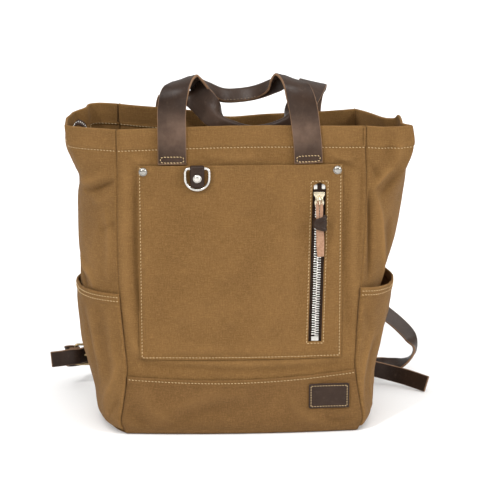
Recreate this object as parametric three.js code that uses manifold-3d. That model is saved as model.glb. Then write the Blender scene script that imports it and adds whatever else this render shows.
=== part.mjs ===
// A canvas backpack in the shape of an open tote, with leather carrying handles and shoulder straps.
// Millimetres, +Z up, +X to the right as seen from the front, front at -Y.
// The origin is the middle of the flat underside, where the bag stands.
import * as THREE from 'three';
import { mergeVertices } from 'three/addons/utils/BufferGeometryUtils.js';
import Module from 'manifold-3d';

// The bag
const bagHeight = 362;
const frontWidth = 280;
const baseDepth = 136;
const gussetReachLeft = 58;
const gussetReachRight = 50;
const frontBelly = 8;
const backBelly = 7;
const backRimSag = 26;
const canvasThick = 1.6;
const hemDepth = 24.5;
const seamGap = 0.3;

// The lower canvas panel
const bandHeight = 70;
const bandOverlap = 14;
const bandTurn = 6;
const bandRiseLeft = 2;
const bandRiseRight = 7;
const bandSag = 6;

// The front pocket and its zip
const pocketWidth = 231;
const pocketDrop = 44;
const pocketRise = 23;
const pocketCentreX = -1.5;
const pocketLoft = 1.9;
const pocketRoll = 9;
const zipInset = 26.5;
const zipLean = 4.5;
const zipDrop = 21;
const zipFoot = 20;
const slotWidth = 15;
const tapeWidth = 30;
const tapeThick = 0.8;
const tapeSpare = 6;
const chainWidth = 7.8;
const chainThick = 2.4;
const toothPitch = 3.8;
const stopHeight = 4;
const stopDrop = 3;
const stopWidth = 3.2;
const sliderLength = 19;
const sliderWidth = 12;
const sliderThick = 2.2;
const sliderDrop = 5.8;
const bailHeight = 5.4;
const bailWire = 1.8;
const pullLength = 62;
const pullWidth = 9;
const pullThick = 2;

// Rivets, the D-ring and the tab that holds it
const rivetDiameter = 9.5;
const rivetDome = 2.2;
const rivetInset = 6.5;
const ringWidth = 30;
const ringHeight = 28;
const ringWire = 3;
const ringX = -50;
const ringBarDrop = 2;
const tabWidth = 16;
const tabLength = 26;
const tabThick = 1.8;
const ringHang = 3;

// The bare leather patch
const patchWidth = 47;
const patchHeight = 30;
const patchThick = 2;
const patchInset = 40;
const patchMiddle = 47;

// Side pockets
const sidePocketHeight = 170;
const sidePocketDip = 7;
const mouthGapeLeft = 1.5;
const mouthGapeRight = 11;
const sidePocketSetback = 3;

// The carrying handles
const handleWidth = 32;
const handleThick = 3;
const handleSpread = 155.5;
const handleLegDrop = 43;
const handleRise = 54;
const gripWidth = 16;
const gripThick = 6;

// The shoulder straps and their buckles
const strapWidth = 20;
const strapThick = 3;
const buckleHeight = 28.5;
const buckleLength = 22;
const buckleBar = 3;
const strapReachLeft = 228;
const strapReachRight = 238;
const strapAnchorX = 32;
const strapStandoff = 44;
const lowerStart = 122;
const lowerSewn = 20;
const lowerHeight = 22;
const strapTop = bagHeight - 2 * hemDepth;

// The end of the closure zip inside the mouth
const closureWidth = 24;
const closureThick = 2;
const closureLoop = 15;
const closureAlong = 0.36;

const halfWidth = frontWidth / 2;
const halfDepth = baseDepth / 2;
const pocketTop = bagHeight - pocketDrop;
const pocketBottom = bandHeight + pocketRise;
const zipTop = pocketTop - zipDrop;
const zipLength = zipTop - pocketBottom - zipFoot;
const zipTopX = pocketCentreX + pocketWidth / 2 - zipInset;
const patchX = halfWidth - patchInset;

// The bag by height. at: share of the bag's height. left, right: where the front seams stand, shares of half
// the front's width. front, back: how deep the seams stand, shares of half the depth. belly: share of the
// front's and back's bulge. outLeft, outRight: share of each gusset's reach.
const sections = [
  { at: 0.0, left: 0.955, right: 0.955, front: 0.925, back: 0.925, belly: 0.75, outLeft: 0.42, outRight: 0.22 },
  { at: 0.04, left: 1.0, right: 1.0, front: 0.975, back: 0.97, belly: 0.85, outLeft: 0.46, outRight: 0.27 },
  { at: 0.09, left: 0.985, right: 0.985, front: 0.98, back: 0.98, belly: 0.92, outLeft: 0.54, outRight: 0.36 },
  { at: 0.17, left: 0.955, right: 0.95, front: 0.98, back: 0.98, belly: 1.0, outLeft: 0.69, outRight: 0.5 },
  { at: 0.23, left: 0.945, right: 0.935, front: 0.97, back: 0.98, belly: 1.0, outLeft: 0.79, outRight: 0.6 },
  { at: 0.28, left: 0.955, right: 0.945, front: 0.96, back: 0.97, belly: 0.95, outLeft: 0.82, outRight: 0.62 },
  { at: 0.39, left: 0.98, right: 0.968, front: 0.95, back: 0.96, belly: 0.9, outLeft: 0.84, outRight: 0.58 },
  { at: 0.47, left: 0.995, right: 0.985, front: 0.94, back: 0.95, belly: 0.8, outLeft: 0.8, outRight: 0.56 },
  { at: 0.56, left: 1.005, right: 0.99, front: 0.92, back: 0.94, belly: 0.7, outLeft: 0.77, outRight: 0.78 },
  { at: 0.73, left: 1.005, right: 0.995, front: 0.88, back: 0.92, belly: 0.5, outLeft: 0.77, outRight: 1.03 },
  { at: 0.83, left: 1.0, right: 1.0, front: 0.86, back: 0.9, belly: 0.4, outLeft: 0.81, outRight: 1.1 },
  { at: 0.91, left: 1.0, right: 1.0, front: 0.84, back: 0.89, belly: 0.3, outLeft: 0.95, outRight: 1.1 },
  { at: 1.0, left: 1.0, right: 1.0, front: 0.82, back: 0.89, belly: 0.2, outLeft: 1.0, outRight: 1.0 },
];

// A gusset's plan, from the front seam to the back seam. along: share of the way between the seams.
// out: share of the gusset's reach. The body's plan turns into the rim's plan towards the mouth.
const bodyPlan = [
  { along: 0, out: 0 }, { along: 0.13, out: 0.52 }, { along: 0.3, out: 0.85 }, { along: 0.47, out: 0.98 },
  { along: 0.62, out: 1 }, { along: 0.78, out: 0.85 }, { along: 0.91, out: 0.45 }, { along: 1, out: 0 },
];
const rimPlanLeft = [
  { along: 0, out: 0 }, { along: 0.18, out: 0.9 }, { along: 0.3, out: 1 }, { along: 0.55, out: 0.98 },
  { along: 0.72, out: 0.86 }, { along: 0.79, out: 0.66 }, { along: 0.93, out: 0.55 }, { along: 1, out: 0 },
];
const rimPlanRight = [
  { along: 0, out: 0 }, { along: 0.05, out: 1 }, { along: 0.14, out: 0.86 }, { along: 0.38, out: 0.88 },
  { along: 0.52, out: 0.82 }, { along: 0.6, out: 0.56 }, { along: 0.8, out: 0.3 }, { along: 1, out: 0 },
];

// The rim's height along the mouth, shares of the bag's height: the front, each gusset from front to back,
// the back from left to right.
const rimFront = [{ along: 0, high: 0.99 }, { along: 0.5, high: 1 }, { along: 1, high: 0.995 }];
const rimLeft = [
  { along: 0, high: 0.99 }, { along: 0.2, high: 0.992 }, { along: 0.5, high: 1 }, { along: 0.75, high: 1.012 },
  { along: 0.9, high: 1.016 }, { along: 1, high: 1.01 },
];
const rimRight = [
  { along: 0, high: 0.995 }, { along: 0.06, high: 0.99 }, { along: 0.35, high: 0.997 }, { along: 0.5, high: 1 },
  { along: 0.62, high: 0.984 }, { along: 1, high: 0.986 },
];
const rimBack = [
  { along: 0, high: 1.01 }, { along: 0.3, high: 0.998 }, { along: 0.45, high: 0.978 }, { along: 0.62, high: 0.985 },
  { along: 1, high: 0.986 },
];

// Folds of the cloth. wall: the panel. across, drift: place at the fold's lower end and how far it wanders by its
// upper end, shares of the panel's width. low, high: shares of the bag's height. wide: share of the panel's width.
// swell: how far the cloth stands out in millimetres, inward where negative.
const folds = [
  { wall: 'front', across: 0.03, drift: 0.0, low: 0.3, high: 1.0, wide: 0.014, swell: -2.4 },
  { wall: 'front', across: 0.06, drift: 0.0, low: 0.25, high: 0.97, wide: 0.014, swell: 1.2 },
  { wall: 'front', across: 0.955, drift: 0.0, low: 0.3, high: 0.92, wide: 0.018, swell: -1.6 },
  { wall: 'left', across: 0.3, drift: 0.25, low: 0.62, high: 0.97, wide: 0.07, swell: -4.5 },
  { wall: 'left', across: 0.16, drift: 0.1, low: 0.3, high: 0.8, wide: 0.06, swell: 2.2 },
  { wall: 'left', across: 0.45, drift: -0.3, low: 0.05, high: 0.4, wide: 0.08, swell: -2 },
  { wall: 'right', across: 0.2, drift: 0.3, low: 0.5, high: 0.9, wide: 0.06, swell: 3 },
  { wall: 'right', across: 0.1, drift: 0.12, low: 0.5, high: 0.85, wide: 0.05, swell: -2.6 },
  { wall: 'back', across: 0.3, drift: 0.08, low: 0.4, high: 1.0, wide: 0.07, swell: -3 },
  { wall: 'back', across: 0.72, drift: -0.06, low: 0.35, high: 0.95, wide: 0.07, swell: -3 },
];

// Rows of the cloth from the base to just under the hem, shares of the bag's height
const clothRows = [0.008, 0.035, 0.08, 0.155, 0.23, 0.31, 0.39, 0.47, 0.55, 0.63, 0.71, 0.79, 0.86];
const frontPlaces = [
  0, 0.015, 0.03, 0.045, 0.06, 0.08, 0.14, 0.24, 0.34, 0.45, 0.55, 0.66, 0.76, 0.86, 0.92, 0.955, 0.98,
];
const gussetCells = 14;
const backCells = 12;
const frontCells = frontPlaces.length;

const clothColour = 0x90703f;
const hideColour = 0x3b2a22;
const cloth = { color: clothColour, roughness: 0.9, metalness: 0 };
const hide = { color: hideColour, roughness: 0.5, metalness: 0 };
const nickel = { color: 0xb9b9b4, roughness: 0.25, metalness: 1 };
const antiqueBrass = { color: 0x8d7c55, roughness: 0.35, metalness: 1 };
const rawHide = { color: 0xb48a63, roughness: 0.7, metalness: 0 };
const tapeBrown = { color: 0x4a3728, roughness: 0.9, metalness: 0 };

const bag = new THREE.Group();

function addMesh(name, geometry, look) {
  const mesh = new THREE.Mesh(geometry, new THREE.MeshStandardMaterial(look));
  mesh.name = name;
  bag.add(mesh);
}

// Smooth value of a column at a place along a table, exact at the rows
function smooth(table, key, place, column) {
  const last = table.length - 1;
  const x = Math.min(Math.max(place, table[0][key]), table[last][key]);
  let i = 0;
  while (i < last - 1 && table[i + 1][key] < x) i += 1;
  const slope = (k) => {
    const before = table[Math.max(k - 1, 0)];
    const after = table[Math.min(k + 1, last)];
    return (after[column] - before[column]) / (after[key] - before[key]);
  };
  const span = table[i + 1][key] - table[i][key];
  const t = (x - table[i][key]) / span;
  const a = table[i][column];
  const b = table[i + 1][column];
  return (2 * t ** 3 - 3 * t ** 2 + 1) * a + (t ** 3 - 2 * t ** 2 + t) * span * slope(i)
    + (3 * t ** 2 - 2 * t ** 3) * b + (t ** 3 - t ** 2) * span * slope(i + 1);
}

const section = (column, z) => smooth(sections, 'at', z / bagHeight, column);
const ease = (t) => { const c = Math.min(Math.max(t, 0), 1); return c * c * (3 - 2 * c); };
const mix = (a, b, t) => a + (b - a) * t;

function foldSwell(wall, across, z) {
  let sum = 0;
  for (const fold of folds.filter((one) => one.wall === wall)) {
    const up = (z / bagHeight - fold.low) / (fold.high - fold.low);
    if (up <= 0 || up >= 1) continue;
    const off = (across - fold.across - fold.drift * up) / fold.wide;
    sum += fold.swell * Math.exp(-off * off) * Math.sin(Math.PI * up);
  }
  return sum;
}

const seamX = (side, z) => side * halfWidth * section(side < 0 ? 'left' : 'right', z);

// How deep the front's and the back's outer faces stand at a place
function frontAt(x, z) {
  const across = (x - seamX(-1, z)) / (seamX(1, z) - seamX(-1, z));
  const crown = 1 - (2 * across - 1) ** 2;
  return -halfDepth * section('front', z) - frontBelly * section('belly', z) * crown - foldSwell('front', across, z);
}

function backAt(x, z) {
  const across = (x - seamX(-1, z)) / (seamX(1, z) - seamX(-1, z));
  const crown = 1 - (2 * across - 1) ** 2;
  const lean = ease((z / bagHeight - 0.6) / 0.4);
  return halfDepth * section('back', z) + (backBelly * section('belly', z) - backRimSag * lean) * crown
    + foldSwell('back', across, z);
}

// A gusset's outer face in plan. t runs from the front seam, 0, to the back seam, 1.
function gussetPlan(side, t, z) {
  const rimPlan = side < 0 ? rimPlanLeft : rimPlanRight;
  const toRim = ease((z / bagHeight - 0.72) / 0.26);
  const rows = bodyPlan.map((row, i) => ({
    step: i / (bodyPlan.length - 1),
    along: mix(row.along, rimPlan[i].along, toRim),
    out: mix(row.out, rimPlan[i].out, toRim),
  }));
  const reach = side < 0 ? gussetReachLeft * section('outLeft', z) : gussetReachRight * section('outRight', z);
  const along = smooth(rows, 'step', t, 'along');
  const frontSeam = frontAt(seamX(side, z), z);
  const backSeam = backAt(seamX(side, z), z);
  return new THREE.Vector2(seamX(side, z) + side * reach * smooth(rows, 'step', t, 'out'),
    mix(frontSeam, backSeam, along));
}

function gussetAt(side, t, z) {
  const nudge = 0.01;
  const before = gussetPlan(side, Math.max(t - nudge, 0), z);
  const after = gussetPlan(side, Math.min(t + nudge, 1), z);
  const way = after.sub(before).normalize();
  const swell = foldSwell(side < 0 ? 'left' : 'right', t, z);
  return gussetPlan(side, t, z).add(new THREE.Vector2(side * way.y, -side * way.x).multiplyScalar(swell));
}

// A gusset's reach past its seam at a depth, for the base that it stands on
function baseX(side, y, z) {
  const seam = seamX(side, z);
  const along = (y - frontAt(seam, z)) / (backAt(seam, z) - frontAt(seam, z));
  const reach = side < 0 ? gussetReachLeft * section('outLeft', z) : gussetReachRight * section('outRight', z);
  const inside = Math.min(Math.max(along, 0), 1);
  return seam + side * reach * smooth(bodyPlan, 'along', inside, 'out');
}

// One closed solid between two grids of points. Rows times columns; columns cross rows facing out.
function closedSheet(outer, inner) {
  const rows = outer.length;
  const columns = outer[0].length;
  const points = [...outer.flat(), ...inner.flat()];
  const place = (layer, i, j) => layer * rows * columns + i * columns + j;
  const faces = [];
  const quad = (a, b, c, d) => faces.push(a, b, c, a, c, d);
  for (let i = 0; i + 1 < rows; i += 1) {
    for (let j = 0; j + 1 < columns; j += 1) {
      quad(place(0, i, j), place(0, i, j + 1), place(0, i + 1, j + 1), place(0, i + 1, j));
      quad(place(1, i, j), place(1, i + 1, j), place(1, i + 1, j + 1), place(1, i, j + 1));
    }
  }
  for (let j = 0; j + 1 < columns; j += 1) {
    quad(place(0, 0, j), place(1, 0, j), place(1, 0, j + 1), place(0, 0, j + 1));
    const top = rows - 1;
    quad(place(0, top, j), place(0, top, j + 1), place(1, top, j + 1), place(1, top, j));
  }
  for (let i = 0; i + 1 < rows; i += 1) {
    quad(place(0, i, 0), place(0, i + 1, 0), place(1, i + 1, 0), place(1, i, 0));
    const end = columns - 1;
    quad(place(0, i, end), place(1, i, end), place(1, i + 1, end), place(0, i + 1, end));
  }
  return geometryOf(points, faces);
}

function geometryOf(points, faces) {
  const geometry = new THREE.BufferGeometry();
  geometry.setAttribute('position', new THREE.Float32BufferAttribute(points.flatMap((p) => [p.x, p.y, p.z]), 3));
  geometry.setIndex(faces);
  geometry.computeVertexNormals();
  return geometry;
}

// A closed solid swept along stations. Each gives its middle, its width direction, its width and thickness.
function ribbon(stations, joined = false) {
  const count = stations.length;
  const corners = [];
  stations.forEach((station, i) => {
    const next = stations[joined ? (i + 1) % count : Math.min(i + 1, count - 1)];
    const last = stations[joined ? (i + count - 1) % count : Math.max(i - 1, 0)];
    const way = next.at.clone().sub(last.at).normalize();
    const wide = station.width.clone().addScaledVector(way, -station.width.dot(way)).normalize();
    const face = way.clone().cross(wide);
    for (const [a, b] of [[-1, -1], [1, -1], [1, 1], [-1, 1]]) {
      corners.push(station.at.clone().addScaledVector(wide, (a * station.wide) / 2)
        .addScaledVector(face, (b * station.thick) / 2));
    }
  });
  const faces = [];
  const spans = joined ? count : count - 1;
  for (let i = 0; i < spans; i += 1) {
    for (let k = 0; k < 4; k += 1) {
      const a = i * 4 + k;
      const b = i * 4 + ((k + 1) % 4);
      const c = ((i + 1) % count) * 4 + ((k + 1) % 4);
      const d = ((i + 1) % count) * 4 + k;
      faces.push(a, b, c, a, c, d);
    }
  }
  if (!joined) {
    const end = (count - 1) * 4;
    faces.push(0, 3, 2, 0, 2, 1, end, end + 1, end + 2, end, end + 2, end + 3);
  }
  return geometryOf(corners, faces);
}

// Stations between the rows of a route, on smooth curves
function route(rows, perRow) {
  const middle = new THREE.CatmullRomCurve3(rows.map((row) => row.at));
  const width = new THREE.CatmullRomCurve3(rows.map((row) => row.width));
  const count = (rows.length - 1) * perRow;
  return Array.from({ length: count + 1 }, (_, i) => {
    const t = i / count;
    const row = Math.min(Math.floor(i / perRow), rows.length - 2);
    const part = ease(i / perRow - row);
    return {
      at: middle.getPoint(t),
      width: width.getPoint(t).normalize(),
      wide: mix(rows[row].wide, rows[row + 1].wide, part),
      thick: mix(rows[row].thick, rows[row + 1].thick, part),
    };
  });
}

const wasm = await Module();
wasm.setup();

function solidOf(geometry) {
  const bare = geometry.clone();
  bare.deleteAttribute('normal');
  bare.deleteAttribute('uv');
  const merged = mergeVertices(bare, 1e-4);
  return new wasm.Manifold(new wasm.Mesh({
    numProp: 3,
    vertProperties: new Float32Array(merged.attributes.position.array),
    triVerts: new Uint32Array(merged.index.array),
  }));
}

function geometryFrom(solid) {
  const mesh = solid.getMesh();
  const geometry = new THREE.BufferGeometry();
  geometry.setAttribute('position', new THREE.Float32BufferAttribute(mesh.vertProperties, 3));
  geometry.setIndex([...mesh.triVerts]);
  geometry.computeVertexNormals();
  return geometry;
}

// The four cloth walls: one ring of points round the bag at each row, cut into panels at the seams
function rimHigh(wall, across) {
  const table = { front: rimFront, left: rimLeft, right: rimRight, back: rimBack }[wall];
  return bagHeight * smooth(table, 'along', across, 'high');
}

function ringColumns() {
  const columns = [];
  const run = (wall, cells) => {
    for (let i = 0; i < cells; i += 1) columns.push({ wall, t: i / cells });
  };
  frontPlaces.forEach((t) => columns.push({ wall: 'front', t }));
  run('right', gussetCells);
  run('back', backCells);
  run('left', gussetCells);
  return columns;
}

function wallPoint(column, z) {
  if (column.wall === 'front') {
    const x = mix(seamX(-1, z), seamX(1, z), column.t);
    return new THREE.Vector2(x, frontAt(x, z));
  }
  if (column.wall === 'right') return gussetAt(1, column.t, z);
  if (column.wall === 'back') {
    const x = mix(seamX(1, z), seamX(-1, z), column.t);
    return new THREE.Vector2(x, backAt(x, z));
  }
  return gussetAt(-1, 1 - column.t, z);
}

function rowHeights(column) {
  const across = { front: column.t, right: column.t, back: 1 - column.t, left: 1 - column.t }[column.wall];
  const rim = rimHigh(column.wall, across);
  const hemLine = rim - hemDepth;
  const heights = clothRows.map((share) => share * bagHeight);
  return [...heights, hemLine - canvasThick, hemLine, mix(hemLine, rim, 0.5), rim];
}

const columns = ringColumns();
const rowCount = clothRows.length + 4;

// Outer and inner ring of a row, the inner one mitred in plan
function ringRow(row, outset, thick) {
  const heights = columns.map((column) => rowHeights(column)[row]);
  const plan = columns.map((column, j) => wallPoint(column, heights[j]));
  const count = plan.length;
  const push = plan.map((point, j) => {
    const before = point.clone().sub(plan[(j + count - 1) % count]).normalize();
    const after = plan[(j + 1) % count].clone().sub(point).normalize();
    const sum = new THREE.Vector2(before.y + after.y, -before.x - after.x);
    return sum.divideScalar(Math.max(1 + before.dot(after), 0.5));
  });
  const layer = (distance) => plan.map((point, j) => new THREE.Vector3(
    point.x + push[j].x * distance, point.y + push[j].y * distance, heights[j]));
  return { outer: layer(outset), inner: layer(outset - thick) };
}

// A run of the ring's columns as a grid, its two ends drawn back from the seams
function ringPart(rows, from, cells, setback, low = 0) {
  const pick = (line) => {
    const points = Array.from({ length: cells + 1 }, (_, j) => line[(from + j) % columns.length].clone());
    const draw = (end, next) => end.addScaledVector(next.clone().sub(end).setZ(0).normalize(), setback);
    draw(points[0], points[1]);
    draw(points[cells], points[cells - 1]);
    return points;
  };
  const used = rows.slice(low);
  return closedSheet(used.map((row) => pick(row.outer)), used.map((row) => pick(row.inner)));
}

function addPanels() {
  const rows = Array.from({ length: rowCount }, (_, i) => {
    const hemmed = i >= rowCount - 3;
    return ringRow(i, 0, hemmed ? 2 * canvasThick : canvasThick);
  });
  const bandRow = clothRows.findIndex((share) => share * bagHeight >= bandHeight - bandOverlap - 1);
  const rightStart = frontCells;
  const backStart = rightStart + gussetCells;
  const leftStart = backStart + backCells;
  addMesh('front_panel', ringPart(rows, 0, frontCells, seamGap / 2, bandRow), cloth);
  addMesh('gusset_right', ringPart(rows, rightStart, gussetCells, seamGap / 2), cloth);
  addMesh('back_panel', ringPart(rows, backStart, backCells, seamGap / 2, bandRow), cloth);
  addMesh('gusset_left', ringPart(rows, leftStart, gussetCells, seamGap / 2), cloth);
}

// The lower panel: one sheet up the back, under the bag and up the front, outside the walls that it overlaps
function addBaseBand() {
  const outset = canvasThick + seamGap;
  const cells = 12;
  const upright = 4;
  const turn = 3;
  const under = 5;
  const top = (share) => bandHeight + mix(bandRiseLeft, bandRiseRight, share) - bandSag * Math.sin(Math.PI * share);
  const line = [];
  for (let i = 0; i <= upright; i += 1) line.push({ face: 1, z: mix(1, 0, i / upright) });
  for (let i = 1; i <= turn; i += 1) line.push({ face: 1, angle: (i / turn) * (Math.PI / 2) });
  for (let i = 1; i < under; i += 1) line.push({ face: 0, share: i / under });
  for (let i = turn; i >= 1; i -= 1) line.push({ face: -1, angle: (i / turn) * (Math.PI / 2) });
  for (let i = upright; i >= 0; i -= 1) line.push({ face: -1, z: mix(1, 0, i / upright) });
  const place = (spot, share, inset) => {
    const faceY = (side, x, z) => (side < 0 ? frontAt(x, z) - outset + inset : backAt(x, z) + outset - inset);
    const lift = inset;
    if (spot.z !== undefined) {
      const z = mix(bandTurn, top(share), spot.z);
      const x = mix(seamX(-1, z) + seamGap, seamX(1, z) - seamGap, share);
      return new THREE.Vector3(x, faceY(spot.face, x, z), z);
    }
    if (spot.angle !== undefined) {
      const rise = 1 - Math.sin(spot.angle);
      const z = lift + (bandTurn - lift) * rise;
      const level = Math.max(z, 0);
      const middleX = mix(seamX(-1, level), seamX(1, level), share);
      const turnY = (bandTurn - inset) * (1 - Math.cos(spot.angle));
      const y = faceY(spot.face, middleX, bandTurn) - spot.face * turnY;
      return new THREE.Vector3(mix(baseX(-1, y, level), baseX(1, y, level), share), y, z);
    }
    const backEnd = faceY(1, 0, bandTurn) - (bandTurn - inset);
    const frontEnd = faceY(-1, 0, bandTurn) + (bandTurn - inset);
    const y = mix(backEnd, frontEnd, spot.share);
    return new THREE.Vector3(mix(baseX(-1, y, 0), baseX(1, y, 0), share), y, lift);
  };
  const grid = (inset) => line.map((spot) => Array.from({ length: cells + 1 },
    (_, j) => place(spot, j / cells, inset)));
  addMesh('base_band', closedSheet(grid(0), grid(canvasThick)), cloth);
}

// The place on a sheet that lies in front of the front panel, and the direction across it there
const inFront = (x, z, off) => new THREE.Vector3(x, frontAt(x, z) - off, z);
const acrossFront = (x, z, half) => new THREE.Vector3(2 * half, frontAt(x + half, z) - frontAt(x - half, z), 0);

const pocketLeft = pocketCentreX - pocketWidth / 2;
const pocketRight = pocketCentreX + pocketWidth / 2;
const pocketBack = (x, z) => {
  const edge = Math.min(x - pocketLeft, pocketRight - x, z - pocketBottom);
  return seamGap + pocketLoft * ease(edge / pocketRoll);
};
const zipX = (z) => zipTopX - (zipLean * (zipTop - z)) / zipLength;

function addFrontPocket() {
  const spaced = (from, to, cells) => [from, from + pocketRoll / 2, from + pocketRoll,
    ...Array.from({ length: cells - 1 }, (_, i) => mix(from + pocketRoll, to - pocketRoll, (i + 1) / cells)),
    to - pocketRoll, to - pocketRoll / 2, to];
  const xs = spaced(pocketLeft, pocketRight, 8);
  const zs = spaced(pocketBottom, pocketTop, 8);
  const grid = (extra) => zs.map((z) => xs.map((x) => inFront(x, z, pocketBack(x, z) + extra)));
  const sheet = closedSheet(grid(canvasThick), grid(0));
  const outline = new THREE.Shape();
  const half = slotWidth / 2;
  outline.moveTo(-half, 0);
  outline.lineTo(half, 0);
  outline.lineTo(half, zipLength - half);
  outline.absarc(0, zipLength - half, half, 0, Math.PI, false);
  outline.closePath();
  const through = { depth: baseDepth, bevelEnabled: false, curveSegments: 8 };
  const cutter = new THREE.ExtrudeGeometry(outline, through);
  cutter.rotateX(Math.PI / 2);
  cutter.rotateY(-Math.atan2(-zipLean, zipLength));
  cutter.translate(zipX(zipTop - zipLength), 0, zipTop - zipLength);
  addMesh('front_pocket', geometryFrom(solidOf(sheet).subtract(solidOf(cutter))), cloth);
}

const tapeBack = seamGap;
const chainBack = tapeBack + tapeThick + seamGap;
const upright = new THREE.Vector3(1, 0, 0);

function addZip() {
  const strip = (low, high, count, wideAt, back, thick) => Array.from({ length: count + 1 }, (_, i) => {
    const z = mix(high, low, i / count);
    const across = acrossFront(zipX(z), z, tapeWidth / 2);
    return { at: inFront(zipX(z), z, back + thick / 2), width: across, wide: wideAt(i), thick };
  });
  const low = zipTop - zipLength;
  const tape = strip(low - tapeSpare, zipTop + tapeSpare, 10, () => tapeWidth, tapeBack, tapeThick);
  addMesh('zip_tape', ribbon(tape), tapeBrown);
  const lean = (z) => Math.atan2(acrossFront(zipX(z), z, tapeWidth / 2).y, tapeWidth);
  const chainTop = zipTop - stopDrop - stopHeight - seamGap;
  const chainLow = low + stopHeight + 2 * seamGap;
  const teeth = Math.round((chainTop - chainLow) / toothPitch) * 2;
  const comb = (i) => (i % 2 ? chainWidth : chainWidth - 2);
  addMesh('zip_chain', ribbon(strip(chainLow, chainTop, teeth, comb, chainBack, chainThick)), nickel);
  for (const [name, side] of [['zip_top_stop_left', -1], ['zip_top_stop_right', 1]]) {
    const z = zipTop - stopDrop - stopHeight / 2;
    const at = inFront(zipX(z) + (side * (chainWidth - stopWidth + 2)) / 2, z, chainBack + chainThick / 2);
    const block = new THREE.BoxGeometry(stopWidth, chainThick, stopHeight).rotateZ(lean(z));
    addMesh(name, block.translate(at.x, at.y, at.z), nickel);
  }
  const foot = inFront(zipX(low), low + seamGap + stopHeight / 2, chainBack + chainThick / 2);
  const bottomStop = new THREE.BoxGeometry(chainWidth, chainThick, stopHeight).rotateZ(lean(low));
  addMesh('zip_bottom_stop', bottomStop.translate(foot.x, foot.y, foot.z), nickel);
}

const sliderBack = chainBack + chainThick + seamGap;
const sliderTopZ = zipTop - sliderDrop - stopHeight;
const bailMiddleZ = sliderTopZ - sliderLength * 0.5;

// The slider: a shield-shaped plate over the chain, with the bail that the pull hangs in
function addSlider() {
  const half = sliderWidth / 2;
  const shield = new THREE.Shape();
  shield.moveTo(-half, 0);
  shield.lineTo(half, 0);
  shield.lineTo(half, -sliderLength * 0.55);
  shield.quadraticCurveTo(half * 0.8, -sliderLength * 0.85, half * 0.45, -sliderLength);
  shield.lineTo(-half * 0.45, -sliderLength);
  shield.quadraticCurveTo(-half * 0.8, -sliderLength * 0.85, -half, -sliderLength * 0.55);
  shield.closePath();
  const plateSolid = { depth: sliderThick, bevelEnabled: false, curveSegments: 3 };
  const plate = new THREE.ExtrudeGeometry(shield, plateSolid);
  plate.rotateX(Math.PI / 2);
  const front = -sliderThick;
  const reach = sliderLength * 0.3;
  const arch = [-1, -0.75, 0, 0.75, 1].map((share) => ({
    at: new THREE.Vector3(0, front + bailWire / 2 - bailHeight * Math.sqrt(1 - share ** 2) - 0.2,
      -sliderLength * 0.5 + share * reach),
    width: upright, wide: bailWire, thick: bailWire,
  }));
  arch[0].at.y += bailWire / 2;
  arch[4].at.y += bailWire / 2;
  const whole = geometryFrom(solidOf(plate).add(solidOf(ribbon(arch))));
  const at = inFront(zipX(bailMiddleZ), bailMiddleZ, sliderBack);
  const tilt = Math.atan2(frontAt(at.x, sliderTopZ) - frontAt(at.x, sliderTopZ - sliderLength), sliderLength);
  whole.translate(0, 0, sliderLength / 2);
  whole.rotateX(-tilt);
  whole.translate(at.x, at.y, at.z);
  addMesh('zip_slider', whole, nickel);
}

// The pull: a leather thong looped through the bail and knotted under it, with a free tail
function addPull() {
  const hang = bailMiddleZ;
  const x = zipX(hang);
  const faceOff = sliderBack + sliderThick;
  const spot = (side, share, off) => {
    const z = hang - share * pullLength;
    return new THREE.Vector3(x + side, frontAt(x, Math.min(z, hang)) - faceOff - off, z);
  };
  const inBail = seamGap * 2 + pullThick / 2 + 0.3;
  const apart = bailWire / 2 + pullThick;
  const towards = new THREE.Vector3(0, 0, 1);
  const strand = { wide: pullWidth * 0.34, thick: pullThick * 0.8 };
  const loop = ribbon(route([
    { at: spot(-apart, 0.2, inBail + 3), width: upright, ...strand },
    { at: spot(-apart, 0.08, inBail + 1), width: new THREE.Vector3(1, 0, 0.3), ...strand },
    { at: spot(-apart * 0.6, 0.01, inBail), width: new THREE.Vector3(0.6, 0, 0.8), ...strand },
    { at: spot(0, 0, inBail), width: towards, ...strand },
    { at: spot(apart * 0.6, 0.01, inBail), width: new THREE.Vector3(-0.6, 0, 0.8), ...strand },
    { at: spot(apart, 0.08, inBail + 1), width: new THREE.Vector3(-1, 0, 0.3), ...strand },
    { at: spot(apart, 0.2, inBail + 3), width: upright.clone().negate(), ...strand },
  ], 2));
  const drop = (share, off, wide, thick) => ({
    at: spot(0.5, share, off), width: upright, wide: wide * pullWidth, thick: thick * pullThick,
  });
  const body = ribbon(route([
    drop(0.17, inBail + 3, 1.2, 2.6), drop(0.22, inBail + 3.2, 1.6, 3.2), drop(0.32, inBail + 3.4, 1.8, 3.4),
    drop(0.42, inBail + 3, 1.6, 3), drop(0.48, inBail + 2.2, 1, 1.3), drop(0.7, inBail + 1.8, 0.95, 1),
    drop(0.96, inBail + 1.4, 0.9, 1),
  ], 2));
  addMesh('zip_pull', geometryFrom(solidOf(loop).add(solidOf(body))), rawHide);
}

// A domed cap that looks along -Y
function cap(diameter, dome) {
  const radius = diameter / 2;
  const profile = [
    { out: 0, up: 0 }, { out: 1, up: 0 }, { out: 1, up: 0.25 }, { out: 0.8, up: 0.7 }, { out: 0.4, up: 0.95 },
    { out: 0, up: 1 },
  ].map((row) => new THREE.Vector2(row.out * radius, row.up * dome));
  return new THREE.LatheGeometry(profile, 12).rotateX(Math.PI);
}

const rivetZ = pocketTop - rivetInset;

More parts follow.
